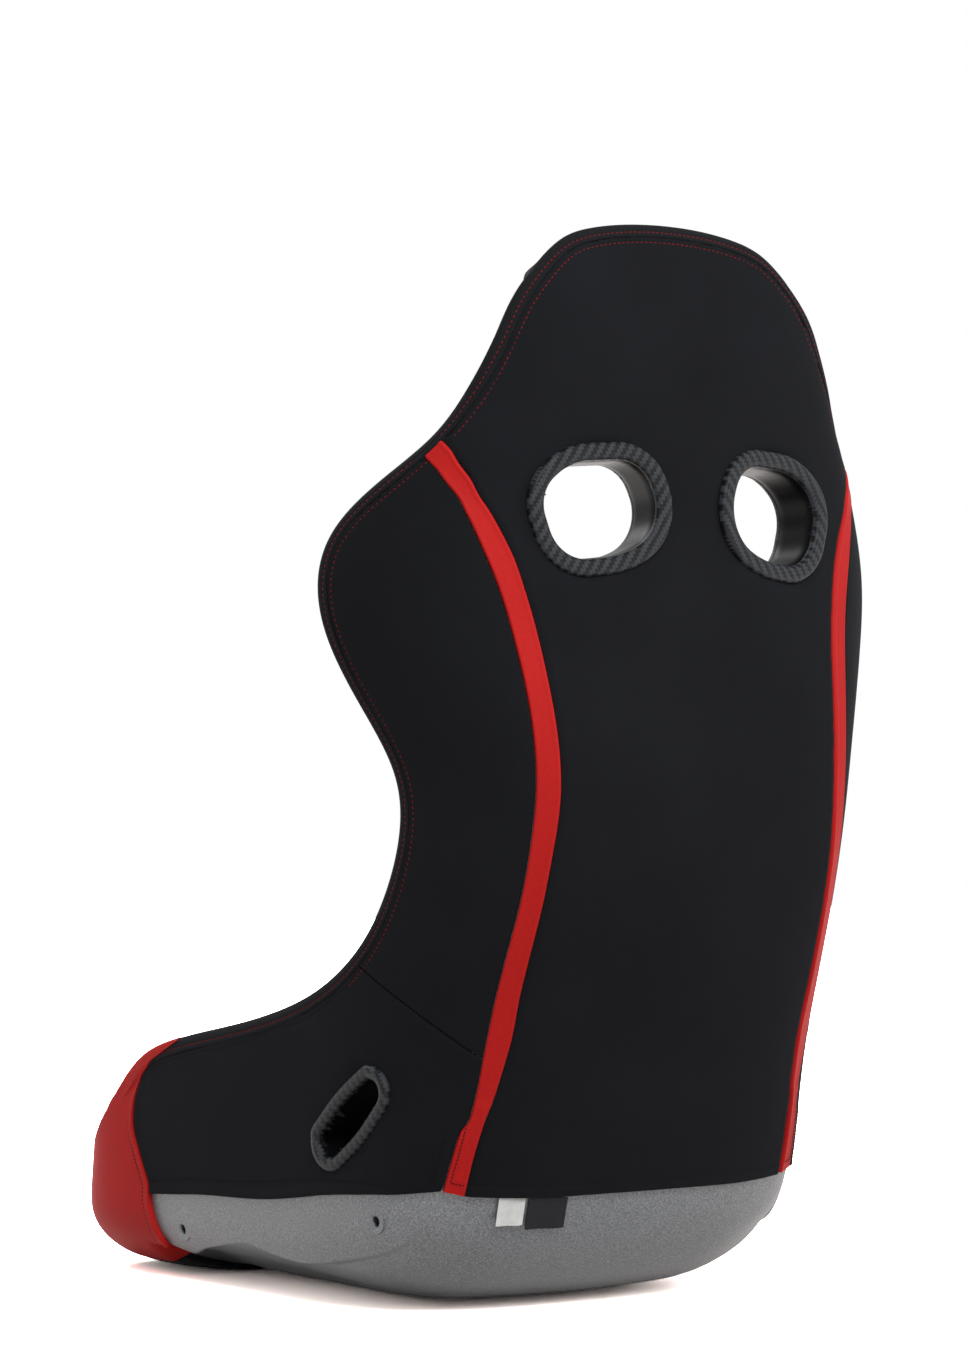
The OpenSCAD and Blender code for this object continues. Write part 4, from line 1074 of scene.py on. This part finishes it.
def build_tub(context):
    """The moulded tub: its outer face, its inner face 4 mm inside, the belt openings, the thickened grounds of
    the mounting holes, and the four holes cut through."""
    rows = np.concatenate([np.arange(0, 16, 0.4), np.arange(16, 23.4, 0.075), np.arange(23.4, 26.01, 0.2)])
    half = np.concatenate([
        np.arange(0, 2.6, 0.26), np.arange(2.6, 3.5, 0.09), np.arange(3.5, 4.0, 0.03), np.arange(4.0, 5.1, 0.08),
        np.linspace(5.1, RIM, 14),
    ])
    columns = np.concatenate([-half[:0:-1], half])
    u, v = np.meshgrid(rows, columns, indexing="ij")
    w = np.abs(v)
    lean = (along_table(u, FLANGE_EDGE) - 3.83) * np.clip(np.minimum((w - 2.6) / 1.23, (4.85 - w) / 1.02), 0, 1)
    v = np.where(v < 0, v - lean, v + lean)
    outer = over_floor(at(u, v, 0), 0)
    inner = over_floor(at(u, v, -4), 3)
    for place in (SHOULDER_PLACE, LAP_PLACE):
        for mirrored in (False, True):
            outer, _ = seat_under_rings(outer, place, mirrored, low=-6.4)
    inner = kept_behind(outer, inner, u, v, 2.5, 2.0)
    points, faces = slab(outer, inner)
    mesh = fill_mesh("tub_shell", points, faces, sharp=60)
    tub = add_piece(context, "tub_shell", mesh, "tub", "shell")
    drills = []
    angle = np.linspace(0, 2 * np.pi, 49)[:-1]
    ring = np.stack([np.zeros(48), np.cos(angle), np.sin(angle)], -1)
    for side in (-1, 1):
        for back in (0, MOUNT_PITCH):
            centre = MOUNT_REAR - back * np.array([0, math.cos(MOUNT_TILT), math.sin(MOUNT_TILT)])
            centre = centre * [side, 1, 1]
            along, radius = MOUNT_GROUND[:, None, :1], MOUNT_GROUND[:, None, 1:]
            loops = centre + side * np.array([1, 0, 0]) * along + ring * radius
            hole = tube(np.stack([centre + ring * 4.4 + [x, 0, 0] for x in (-16, 16)]))
            drills.append((tube(loops, closed=True), hole))
    shapes = [hole for _, hole in drills]
    for mirrored in (False, True):
        shapes.append(prism(SHOULDER_PLACE, SHOULDER_CUT, -60, 20, mirrored))
        shapes.append(prism(LAP_PLACE, LAP_CUT, -60, 20, mirrored))
    cut(context, tub, shapes + [prism(CROTCH_PLACE, CROTCH_CUT, -20, 40)])
    points = np.concatenate([d[0][0] for d in drills])
    starts = np.cumsum([0] + [len(d[0][0]) for d in drills[:-1]])
    quads = np.concatenate([d[0][1] + k for d, k in zip(drills, starts)])
    grounds = fill_mesh("mount_grounds", points, quads)
    add_piece(context, "mount_grounds", grounds, "tub")


# ---- rings and tunnels ---------------------------------------------------------------------------
def ring_profile(band):
    """Half-round band: (distance from the outline, height over its foot)."""
    return (
        (0, 0), (0, 2.2), (0.35, 3.5), (1.1, 4.7), (2.4, 5.6), (4.2, 6.0), (band * 0.5, 6.15), (band - 4.4, 6.0),
        (band - 2.4, 5.4), (band - 1.1, 4.4), (band - 0.3, 3.0), (band, 1.4), (band, 0),
    )


def build_ring(context, name, place, band, foot, upward, mirrored, node):
    """Carries the ring's profile round the opening's outline, with a flat map in the opening's plane."""
    corners = place[2]
    loops = []
    for gap, high in ring_profile(band):
        line = outline(corners, gap)
        loops.append(np.column_stack([line, np.full(len(line), foot + upward * high)]))
    local = np.stack(loops, 1)
    points, quads, _ = tube(local, closed=True)
    uv = points[:, :2] * 1.0
    mesh = fill_mesh(name, from_plane(points, place, mirrored), quads, uv=uv, sharp=70)
    add_piece(context, name, mesh, "ring", node)


def build_tunnel(context, name, place, band, near, far, mirrored, node):
    """A smooth tube through an opening: its wall follows the outline inside the ring's band and flares a little
    at both mouths."""
    steps = np.linspace(0, 1, 13)
    loops = []
    for k in steps:
        line = outline(place[2], band - 1.9)
        loops.append(np.column_stack([line, np.full(len(line), near + (far - near) * k)]))
    for k in steps[::-1]:
        flare = 1.4 * (ease((0.14 - k) / 0.14) + ease((k - 0.86) / 0.14))
        line = outline(place[2], band + 0.9 - flare)
        loops.append(np.column_stack([line, np.full(len(line), near + (far - near) * k)]))
    points, quads, _ = tube(np.stack(loops, 1), closed=True)
    mesh = fill_mesh(name, from_plane(points, place, mirrored), quads, sharp=60)
    add_piece(context, name, mesh, "tunnel", node)


def build_belt_ways(context):
    """All rings and tunnels of the belt openings."""
    for mirrored, side in ((False, "left"), (True, "right")):
        for way, place, band, deep, inside in (
            ("shoulder", SHOULDER_PLACE, SHOULDER_BAND, SHOULDER_DEEP, "front"),
            ("lap", LAP_PLACE, LAP_BAND, LAP_DEEP, "inner"),
        ):
            build_ring(context, f"{way}_ring_twill_{side}", place, band, RING_FOOT, 1, mirrored, f"{way}_ring_{side}")
            name, node = f"{way}_ring_inside_{side}", f"{way}_ring_{inside}_{side}"
            build_ring(context, name, place, band, -deep, -1, mirrored, node)
            name, node = f"{way}_tunnel_wall_{side}", f"{way}_tunnel_{side}"
            build_tunnel(context, name, place, band, -5.2, -deep - 1, mirrored, node)
    build_ring(context, "crotch_ring_twill", CROTCH_PLACE, CROTCH_BAND, CROTCH_DEEP + 3, 1, False, "crotch_ring")
    build_tunnel(
        context, "crotch_tunnel_wall", CROTCH_PLACE, CROTCH_BAND, 0.5, CROTCH_DEEP + 4, False, "crotch_tunnel",
    )


# ---- pads ----------------------------------------------------------------------------------------
PAD_IN = 4.9  # distance from the tub's outer face to the back of the pads


def pad_grid(u0, u1, v0, v1, step=5.0):
    """Even grid between two rows and two columns, closer together at its borders."""
    near = (0, 1.2, 3, 5.5, 8.5, 12)
    long = runs(surface(np.linspace(u0, u1, 60), np.full(60, abs(v0 + v1) / 2)))[-1]
    wide = runs(at(np.full(60, (u0 + u1) / 2), np.linspace(v0, v1, 60), 0))[-1]
    s, t = marks(long, near, near, step), marks(wide, near, near, step)
    return np.meshgrid(u0 + s * (u1 - u0), v0 + t * (v1 - v0), indexing="ij")


def pad_thickness(u, v, full, edge, radius, where, deep, shape=None):
    """A pad's thickness: a rounded rise from its borders, a low crown over its middle, and a furrow at the seam
    that runs at one distance from the borders."""
    base = at(u, v, 0)
    gaps = border_gaps(base)
    near = np.minimum.reduce(gaps)
    rise = 1.0
    for gap in gaps:
        k = np.clip(gap / radius, 0, 1)
        rise = rise * (0.30 + 0.70 * np.sqrt(1 - (1 - k) ** 2))
    long, wide = gaps[2] + gaps[3], gaps[0] + gaps[1]
    crown = np.sin(np.pi * gaps[2] / np.maximum(long, 1)) * np.sin(np.pi * gaps[0] / np.maximum(wide, 1))
    thick = edge * 0.3 + (full - edge * 0.3) * rise * (0.93 + 0.07 * crown)
    thick = thick + furrow(near, where, 1.6, deep) + 0.35 * deep * np.exp(-(((near - where - 6) / 5) ** 2))
    if shape is not None:
        thick = thick + shape(base, gaps)
    return thick


def channels(count, deep, across_gap):
    """Sewn channels that run across a pad, evenly spread, and end before its borders."""

    def shape(base, gaps):
        long = gaps[2] + gaps[3]
        place = gaps[2] / np.maximum(long, 1) * (count + 1)
        beside = np.abs(place - np.clip(np.round(place), 1, count)) * long / (count + 1)
        inside = ease((np.minimum(gaps[0], gaps[1]) - across_gap) / 6)
        swell = 0.4 * np.exp(-(((beside - 14) / 12) ** 2))
        return inside * deep * (swell - np.exp(-((beside / 2.2) ** 2)))

    return shape


def build_pad(context, pad, area, size, seam, shape=None, side="", openings=(), key="pad"):
    """A pad over the tub's inner face, with its back just inside the face. Its size is its full thickness, the
    thickness at its borders and the radius of its rise, and its seam a distance from the borders and a depth."""
    u, v = pad_grid(*area)
    thick = pad_thickness(u, v, *size, *seam, shape)
    back, front = at(u, v, -PAD_IN), at(u, v, -PAD_IN - thick)
    piece = add_sheet(context, f"{pad}_cloth{side}", back, front, flat_map(back), key, pad + side, side == "_right")
    if openings:
        cut(context, piece, [prism(*opening) for opening in openings])


def build_pads(context):
    """Head pad, back pads, cushion, front pad and the six bolsters."""
    crown = context.scene.seat_sizes.pad_crown
    half, wing = 3.53, (3.57, 6.88)
    build_pad(context, "head_pad", (0.12, 4.54, -6.86, 6.86), (32 + crown, 12, 26), (24, 2.2))
    build_pad(
        context, "upper_back_pad", (4.58, 11.94, -half, half), (30 + crown, 20, 22), (20, 2.2), channels(4, 2.0, 26),
        openings=[(SHOULDER_PLACE, SHOULDER_CUT, -130, 20, mirrored) for mirrored in (False, True)], key="insert",
    )
    build_pad(
        context, "lumbar_pad", (11.98, 17.36, -half, half), (34 + crown, 20, 22), (20, 2.2), channels(3, 2.0, 26),
        key="insert",
    )
    build_pad(
        context, "seat_cushion", (17.42, 23.33, -3.66, 3.66), (46 + crown, 26, 24), (22, 2.4), channels(2, 2.2, 28),
        openings=[(CROTCH_PLACE, CROTCH_CUT, -10, 130, False)], key="insert",
    )
    build_pad(context, "front_thigh_pad", (23.38, 26.95, -3.8, 3.8), (34 + crown, 22, 22), (20, 2.2))
    for side in ("_left", "_right"):
        build_pad(context, "shoulder_bolster", (4.58, 10.33, *wing), (34 + crown, 13, 24), (22, 2.0), side=side)
        build_pad(context, "waist_bolster", (10.38, 14.66, *wing), (34 + crown, 13, 24), (22, 2.0), side=side)
        build_pad(
            context, "thigh_bolster", (14.7, 26.9, 3.84, 6.88), (38 + crown, 13, 26), (24, 2.0), side=side,
            openings=[(LAP_PLACE, LAP_CUT, -130, 20, side == "_right")],
        )


# ---- labels and mounting -------------------------------------------------------------------------
def build_labels(context):
    """Two blank labels that hang from the back hem: a thin sheet with a slight bend and a folded lower end."""
    for key, name, node, (x, y, low), wide, turn in (
        ("label_white", "label_light_cloth", "label_light", (109, 240.7, 76), 23.5, -10),
        ("label_black", "label_dark_cloth", "label_dark", (71, 245, 72), 35, -8.5),
    ):
        a, b = np.meshgrid(np.linspace(0, 1, 15), np.linspace(0, 1, 17), indexing="ij")
        bend = 1.1 * np.sin(np.pi * a) * (1 - b) + 0.8 * (1 - b) ** 2 * np.sin(2.2 * np.pi * a + 0.6)
        thick = np.where((b < 0.06) | (a < 0.04) | (a > 0.96), 0.75, 0.5)
        spin = turned("Z", turn) @ turned("X", -18.5)
        front = np.stack([a * wide, 0.4 + bend + thick / 2, b * 26], -1) @ spin.T + [x, y, low]
        back = np.stack([a * wide, 0.4 + bend - thick / 2, b * 26], -1) @ spin.T + [x, y, low]
        uv = np.stack([a * wide, b * 26], -1)
        add_sheet(context, name, front, back, uv, key, node)


def dress_mounts(context):
    """Zinc-plated steel on the mounting plates and weld nuts, whose solids stay."""
    for node in ("mount_plate_left", "mount_plate_right", "mount_nut"):
        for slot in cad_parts[node].material_slots:
            slot.material = finish("steel", context)


# ---- stitches ------------------------------------------------------------------------------------
def stitch_mesh(lines, length, radius):
    """Small capsules along lines: each line gives points, directions and outward directions. A capsule is four
    rings of six points between two tips, sunk at its ends."""
    rings = np.array([
        (-0.5, 0.0, -0.55), (-0.42, 0.62, -0.35), (-0.2, 1.0, 0.1), (0.2, 1.0, 0.1), (0.42, 0.62, -0.35),
        (0.5, 0.0, -0.55),
    ])
    angle = np.linspace(0, 2 * np.pi, 7)[:-1]
    shape = [(rings[0, 0] * length, 0, rings[0, 2] * radius)]
    for x, r, z in rings[1:-1]:
        shape += [(x * length, r * radius * math.cos(q), radius * (0.8 * r * math.sin(q) + z)) for q in angle]
    shape.append((rings[-1, 0] * length, 0, rings[-1, 2] * radius))
    shape = np.array(shape)
    turn = [(q, (q + 1) % 6) for q in range(6)]
    quads = [(k + q, k + r, k + 6 + r, k + 6 + q) for k in (1, 7, 13) for q, r in turn]
    tris = [(0, 1 + r, 1 + q) for q, r in turn] + [(25, 19 + q, 19 + r) for q, r in turn]
    points = np.concatenate([p for p, _, _ in lines])
    ahead = unit(np.concatenate([d for _, d, _ in lines]))
    up = np.concatenate([n for _, _, n in lines])
    up = unit(up - (up * ahead).sum(-1, keepdims=True) * ahead)
    beside = np.cross(up, ahead)
    axes = np.stack([ahead, beside, up], axis=1)
    placed = points[:, None] + shape @ axes
    shift = np.arange(len(points))[:, None, None] * len(shape)
    faces = [(np.array(some) + shift).reshape(-1, len(some[0])) for some in (quads, tris)]
    return placed.reshape(-1, 3), *faces


def stitch_line(u, v, height, pitch=4.6):
    """Places of stitches along a line on the seat: points, directions and outward directions, evenly spread."""
    u, v, height = np.broadcast_arrays(np.asarray(u, float), np.asarray(v, float), np.asarray(height, float))
    k = spaced(at(u, v, height), step=pitch)
    index = np.arange(len(u))
    a, b, h = np.interp(k, index, u), np.interp(k, index, v), np.interp(k, index, height)
    points = at(a, b, h)
    return points, np.gradient(points, axis=0), facing(a, b)


def both_sides(line):
    """A line of stitches and its mirror image."""
    points, ahead, up = line
    return [line, (points * FLIP, ahead * FLIP, up * FLIP)]


def build_stitches(context):
    """Red rows beside the rim's seam, and black rows at the hems, the stripes' ends and the caps."""
    sizes = context.scene.seat_sizes
    red, black = [], []
    for gap, height, last in ((6.0, 3.5, 19.4), (15.0, 3.0, 14.6)):
        u, v = inset(gap, step=1.5)
        sewn = (u < last) & ((u < 4.9) | (u > 5.55))
        for part in np.split(np.arange(len(u)), np.nonzero(np.diff(sewn.astype(int)))[0] + 1):
            if len(part) > 8 and sewn[part].all():
                red += both_sides(stitch_line(u[part], v[part], height, sizes.stitch_pitch))
    mesh = fill_mesh("rim_stitches", *stitch_mesh(red, 2.6, 0.38))
    add_piece(context, "rim_stitches", mesh, "thread_red")
    v = np.linspace(-2.86, 2.86, 300)
    black.append(stitch_line(back_hem(v) - 0.115, v, 3.75, 3.4))
    u = np.linspace(15.8, 21.6, 300)
    black += both_sides(stitch_line(u, side_border(u) + 0.25, 3.7, 3.4))
    v = np.linspace(3.3, 6.4, 200)
    u = along_table(v, CAP_EDGE) + 0.17
    black += both_sides(stitch_line(u, v, 3.2 + cap_rise(u), 3.4))
    u = np.concatenate([np.linspace(15.72, 16.36, 60), np.full(30, 16.37)])
    v = np.concatenate([np.linspace(3.30, 3.22, 60), np.linspace(3.21, 2.99, 30)])
    black += both_sides(stitch_line(u, v, 4.8, 3.0))
    mesh = fill_mesh("hem_stitches", *stitch_mesh(black, 2.3, 0.42))
    add_piece(context, "hem_stitches", mesh, "thread_black")


# ---- stage ---------------------------------------------------------------------------------------
CAMERA = (2.0966, 2.9258, 0.442)
CAMERA_AZIMUTH, CAMERA_PITCH = math.radians(36), math.radians(1.085)


def build_stage(context):
    """Pale floor, white surroundings, soft lamps and the camera."""
    looks = context.scene.seat_looks
    scene = context.scene
    bpy.ops.mesh.primitive_plane_add(size=14, location=(0, 0, -0.0004))
    floor = context.object
    floor.name = "floor"
    f = Finish("pale_floor")
    tree = f.tree
    rays = f.add("ShaderNodeLightPath")
    through = f.maths("MAXIMUM", rays.outputs["Is Glossy Ray"], rays.outputs["Is Transmission Ray"])
    seen = f.maths("MAXIMUM", rays.outputs["Is Camera Ray"], through)
    grain = f.ramp(f.noise(f.place(), 3, 2), (0.3, (0.30, 0.30, 0.30)), (0.8, (0.32, 0.32, 0.32)))
    pale = f.mix(rays.outputs["Is Camera Ray"], f.mix(seen, grain, (1.75, 1.62, 1.55, 1)), (6.2, 5.5, 5.2, 1))
    matt = f.add("ShaderNodeBsdfDiffuse", {"Color": pale})
    far = f.add("ShaderNodeVectorMath", {0: f.place()}, operation="LENGTH").outputs["Value"]
    span = {0: far, 1: 0.55, 2: 1.3, 3: 0.0, 4: 1.0}
    away = f.add("ShaderNodeMapRange", span, interpolation_type="SMOOTHSTEP").outputs[0]
    glow = f.add("ShaderNodeEmission", {"Color": (1, 1, 1, 1), "Strength": f.maths("MULTIPLY", seen, away)})
    both = f.add("ShaderNodeAddShader", {0: matt.outputs[0], 1: glow.outputs[0]})
    tree.links.new(both.outputs[0], tree.nodes["Material Output"].inputs["Surface"])
    floor.data.materials.append(f.material)

    world = bpy.data.worlds.new("white_room")
    scene.world = world
    world.use_nodes = True
    nodes, links = world.node_tree.nodes, world.node_tree.links
    background = nodes["Background"]
    background.inputs["Color"].default_value = (1, 1, 1, 1)
    rays = nodes.new("ShaderNodeLightPath")
    first, second, mix = (nodes.new("ShaderNodeMath") for _ in range(3))
    first.operation = second.operation = "MAXIMUM"
    links.new(rays.outputs["Is Camera Ray"], first.inputs[0])
    links.new(rays.outputs["Is Transmission Ray"], first.inputs[1])
    links.new(first.outputs[0], second.inputs[0])
    links.new(rays.outputs["Is Glossy Ray"], second.inputs[1])
    mix.operation = "MULTIPLY_ADD"
    links.new(second.outputs[0], mix.inputs[0])
    mix.inputs[1].default_value = 1 - looks.room_light
    mix.inputs[2].default_value = looks.room_light
    links.new(mix.outputs[0], background.inputs["Strength"])

    for name, place, aim, power, size in (
        ("key_lamp", (1.0, 2.9, 2.7), (0, 0.1, 0.5), looks.key_power, 1.6),
        ("fill_lamp", (-1.8, 2.6, 1.6), (0, 0.1, 0.5), looks.key_power * 0.35, 1.8),
        ("rim_lamp", (0.4, -2.4, 2.6), (0, 0.1, 0.6), looks.key_power * 0.5, 1.6),
    ):
        lamp = bpy.data.lights.new(name, "AREA")
        lamp.energy, lamp.size, lamp.shape = power, size, "DISK"
        holder = bpy.data.objects.new(name, lamp)
        scene.collection.objects.link(holder)
        holder.location = place
        away = np.array(place) - np.array(aim)
        holder.rotation_euler = (math.atan2(math.hypot(away[0], away[1]), away[2]), 0, math.atan2(away[0], -away[1]))

    lens = bpy.data.cameras.new("view_camera")
    lens.lens, lens.sensor_width = 110.25, 36
    lens.clip_end = 50
    camera = bpy.data.objects.new("view_camera", lens)
    scene.collection.objects.link(camera)
    camera.location = CAMERA
    camera.rotation_euler = (math.pi / 2 + CAMERA_PITCH, 0, math.pi - CAMERA_AZIMUTH)
    scene.camera = camera
    scene.view_settings.view_transform = "Standard"


# ---- add-on --------------------------------------------------------------------------------------
class SeatSizes(bpy.types.PropertyGroup):
    """Sizes in mm that a user would change."""

    cover_height: bpy.props.FloatProperty(
        name="Cover height", description="Height of the fabric over the tub, mm", default=3.3, min=2, max=5
    )
    pad_crown: bpy.props.FloatProperty(
        name="Pad crown", description="Extra fullness of the pads, mm", default=2.0, min=0, max=6
    )
    stitch_pitch: bpy.props.FloatProperty(
        name="Stitch pitch", description="Distance from one red stitch to the next, mm", default=4.6, min=3, max=8
    )


def colour_property(name, description, default):
    """A colour without its alpha."""
    return bpy.props.FloatVectorProperty(
        name=name, description=description, default=default, size=3, subtype="COLOR", min=0, max=1
    )


class SeatLooks(bpy.types.PropertyGroup):
    """Colours and light that a user would change."""

    knit_colour: colour_property("Knit", "Colour of the outer fabric", (0.0104, 0.0109, 0.0130))
    pad_colour: colour_property("Pads", "Colour of the pads' fabric", (0.0115, 0.0115, 0.0128))
    leather_colour: colour_property("Leather", "Colour of the stripes and the caps", (0.52, 0.0165, 0.0150))
    thread_colour: colour_property("Thread", "Colour of the stitches beside the rim", (0.30, 0.010, 0.014))
    tub_colour: colour_property("Tub", "Colour of the gel coat", (0.166, 0.178, 0.190))
    ring_colour: colour_property("Rings", "Colour of the rings' twill", (0.026, 0.029, 0.033))
    key_power: bpy.props.FloatProperty(
        name="Key lamp", description="Power of the key lamp", default=72, min=0, subtype="POWER", unit="POWER"
    )
    room_light: bpy.props.FloatProperty(
        name="Room light", description="Strength of the light from all around", default=0.52, min=0, max=2
    )


class SeatOperator:
    """Shared behaviour of the piece operators."""

    bl_options = {"REGISTER", "UNDO"}

    def execute(self, context):
        type(self).build(context)
        return {"FINISHED"}


def operator(idname, label, doc, build):
    """Makes one operator class around a building function."""
    return type(
        "SEAT_OT_" + idname,
        (SeatOperator, bpy.types.Operator),
        {"bl_idname": "seat." + idname, "bl_label": label, "__doc__": doc, "build": staticmethod(build)},
    )


OPERATORS = (
    operator("tub", "Tub", "Build the moulded tub", build_tub),
    operator("back_cover", "Back Cover", "Build the fabric cover of the back and the head", build_back_cover),
    operator("side_covers", "Side Covers", "Build the fabric covers of both sides", build_sides),
    operator("stripes", "Stripes", "Build the leather stripes", build_stripes),
    operator("front_caps", "Front Caps", "Build the leather caps at the front", build_caps),
    operator("front_flap", "Front Flap", "Build the flap under the front lip", build_flap),
    operator("binding", "Edge Binding", "Build the binding along the rim", build_binding),
    operator("belt_ways", "Belt Rings", "Build the rings and tunnels of the belt openings", build_belt_ways),
    operator("pads", "Pads", "Build all pads and bolsters", build_pads),
    operator("labels", "Labels", "Build the two blank labels", build_labels),
    operator("mounts", "Mounts", "Give the mounting plates and nuts their finish", dress_mounts),
    operator("stitches", "Stitches", "Build the rows of stitches", build_stitches),
    operator("stage", "Stage", "Build the floor, the lamps and the camera", build_stage),
)


class SEAT_PT_pieces(bpy.types.Panel):
    """Lists the seat's pieces in the sidebar."""

    bl_label = "Bucket Seat"
    bl_idname = "SEAT_PT_pieces"
    bl_space_type = "VIEW_3D"
    bl_region_type = "UI"
    bl_category = "Seat"

    def draw(self, context):
        for group in (context.scene.seat_sizes, context.scene.seat_looks):
            for key in group.bl_rna.properties.keys():
                if key not in ("rna_type", "name"):
                    self.layout.prop(group, key)
        for made in OPERATORS:
            self.layout.operator(made.bl_idname)


CLASSES = (SeatSizes, SeatLooks, *OPERATORS, SEAT_PT_pieces)


def register():
    for made in CLASSES:
        bpy.utils.register_class(made)
    bpy.types.Scene.seat_sizes = bpy.props.PointerProperty(type=SeatSizes)
    bpy.types.Scene.seat_looks = bpy.props.PointerProperty(type=SeatLooks)


def unregister():
    del bpy.types.Scene.seat_looks
    del bpy.types.Scene.seat_sizes
    for made in reversed(CLASSES):
        bpy.utils.unregister_class(made)


def main():
    """Builds the whole seat and its stage, and writes both boxes."""
    register()
    for made in OPERATORS:
        getattr(bpy.ops.seat, made.bl_idname.split(".")[1])()


if __name__ == "__main__":
    main()
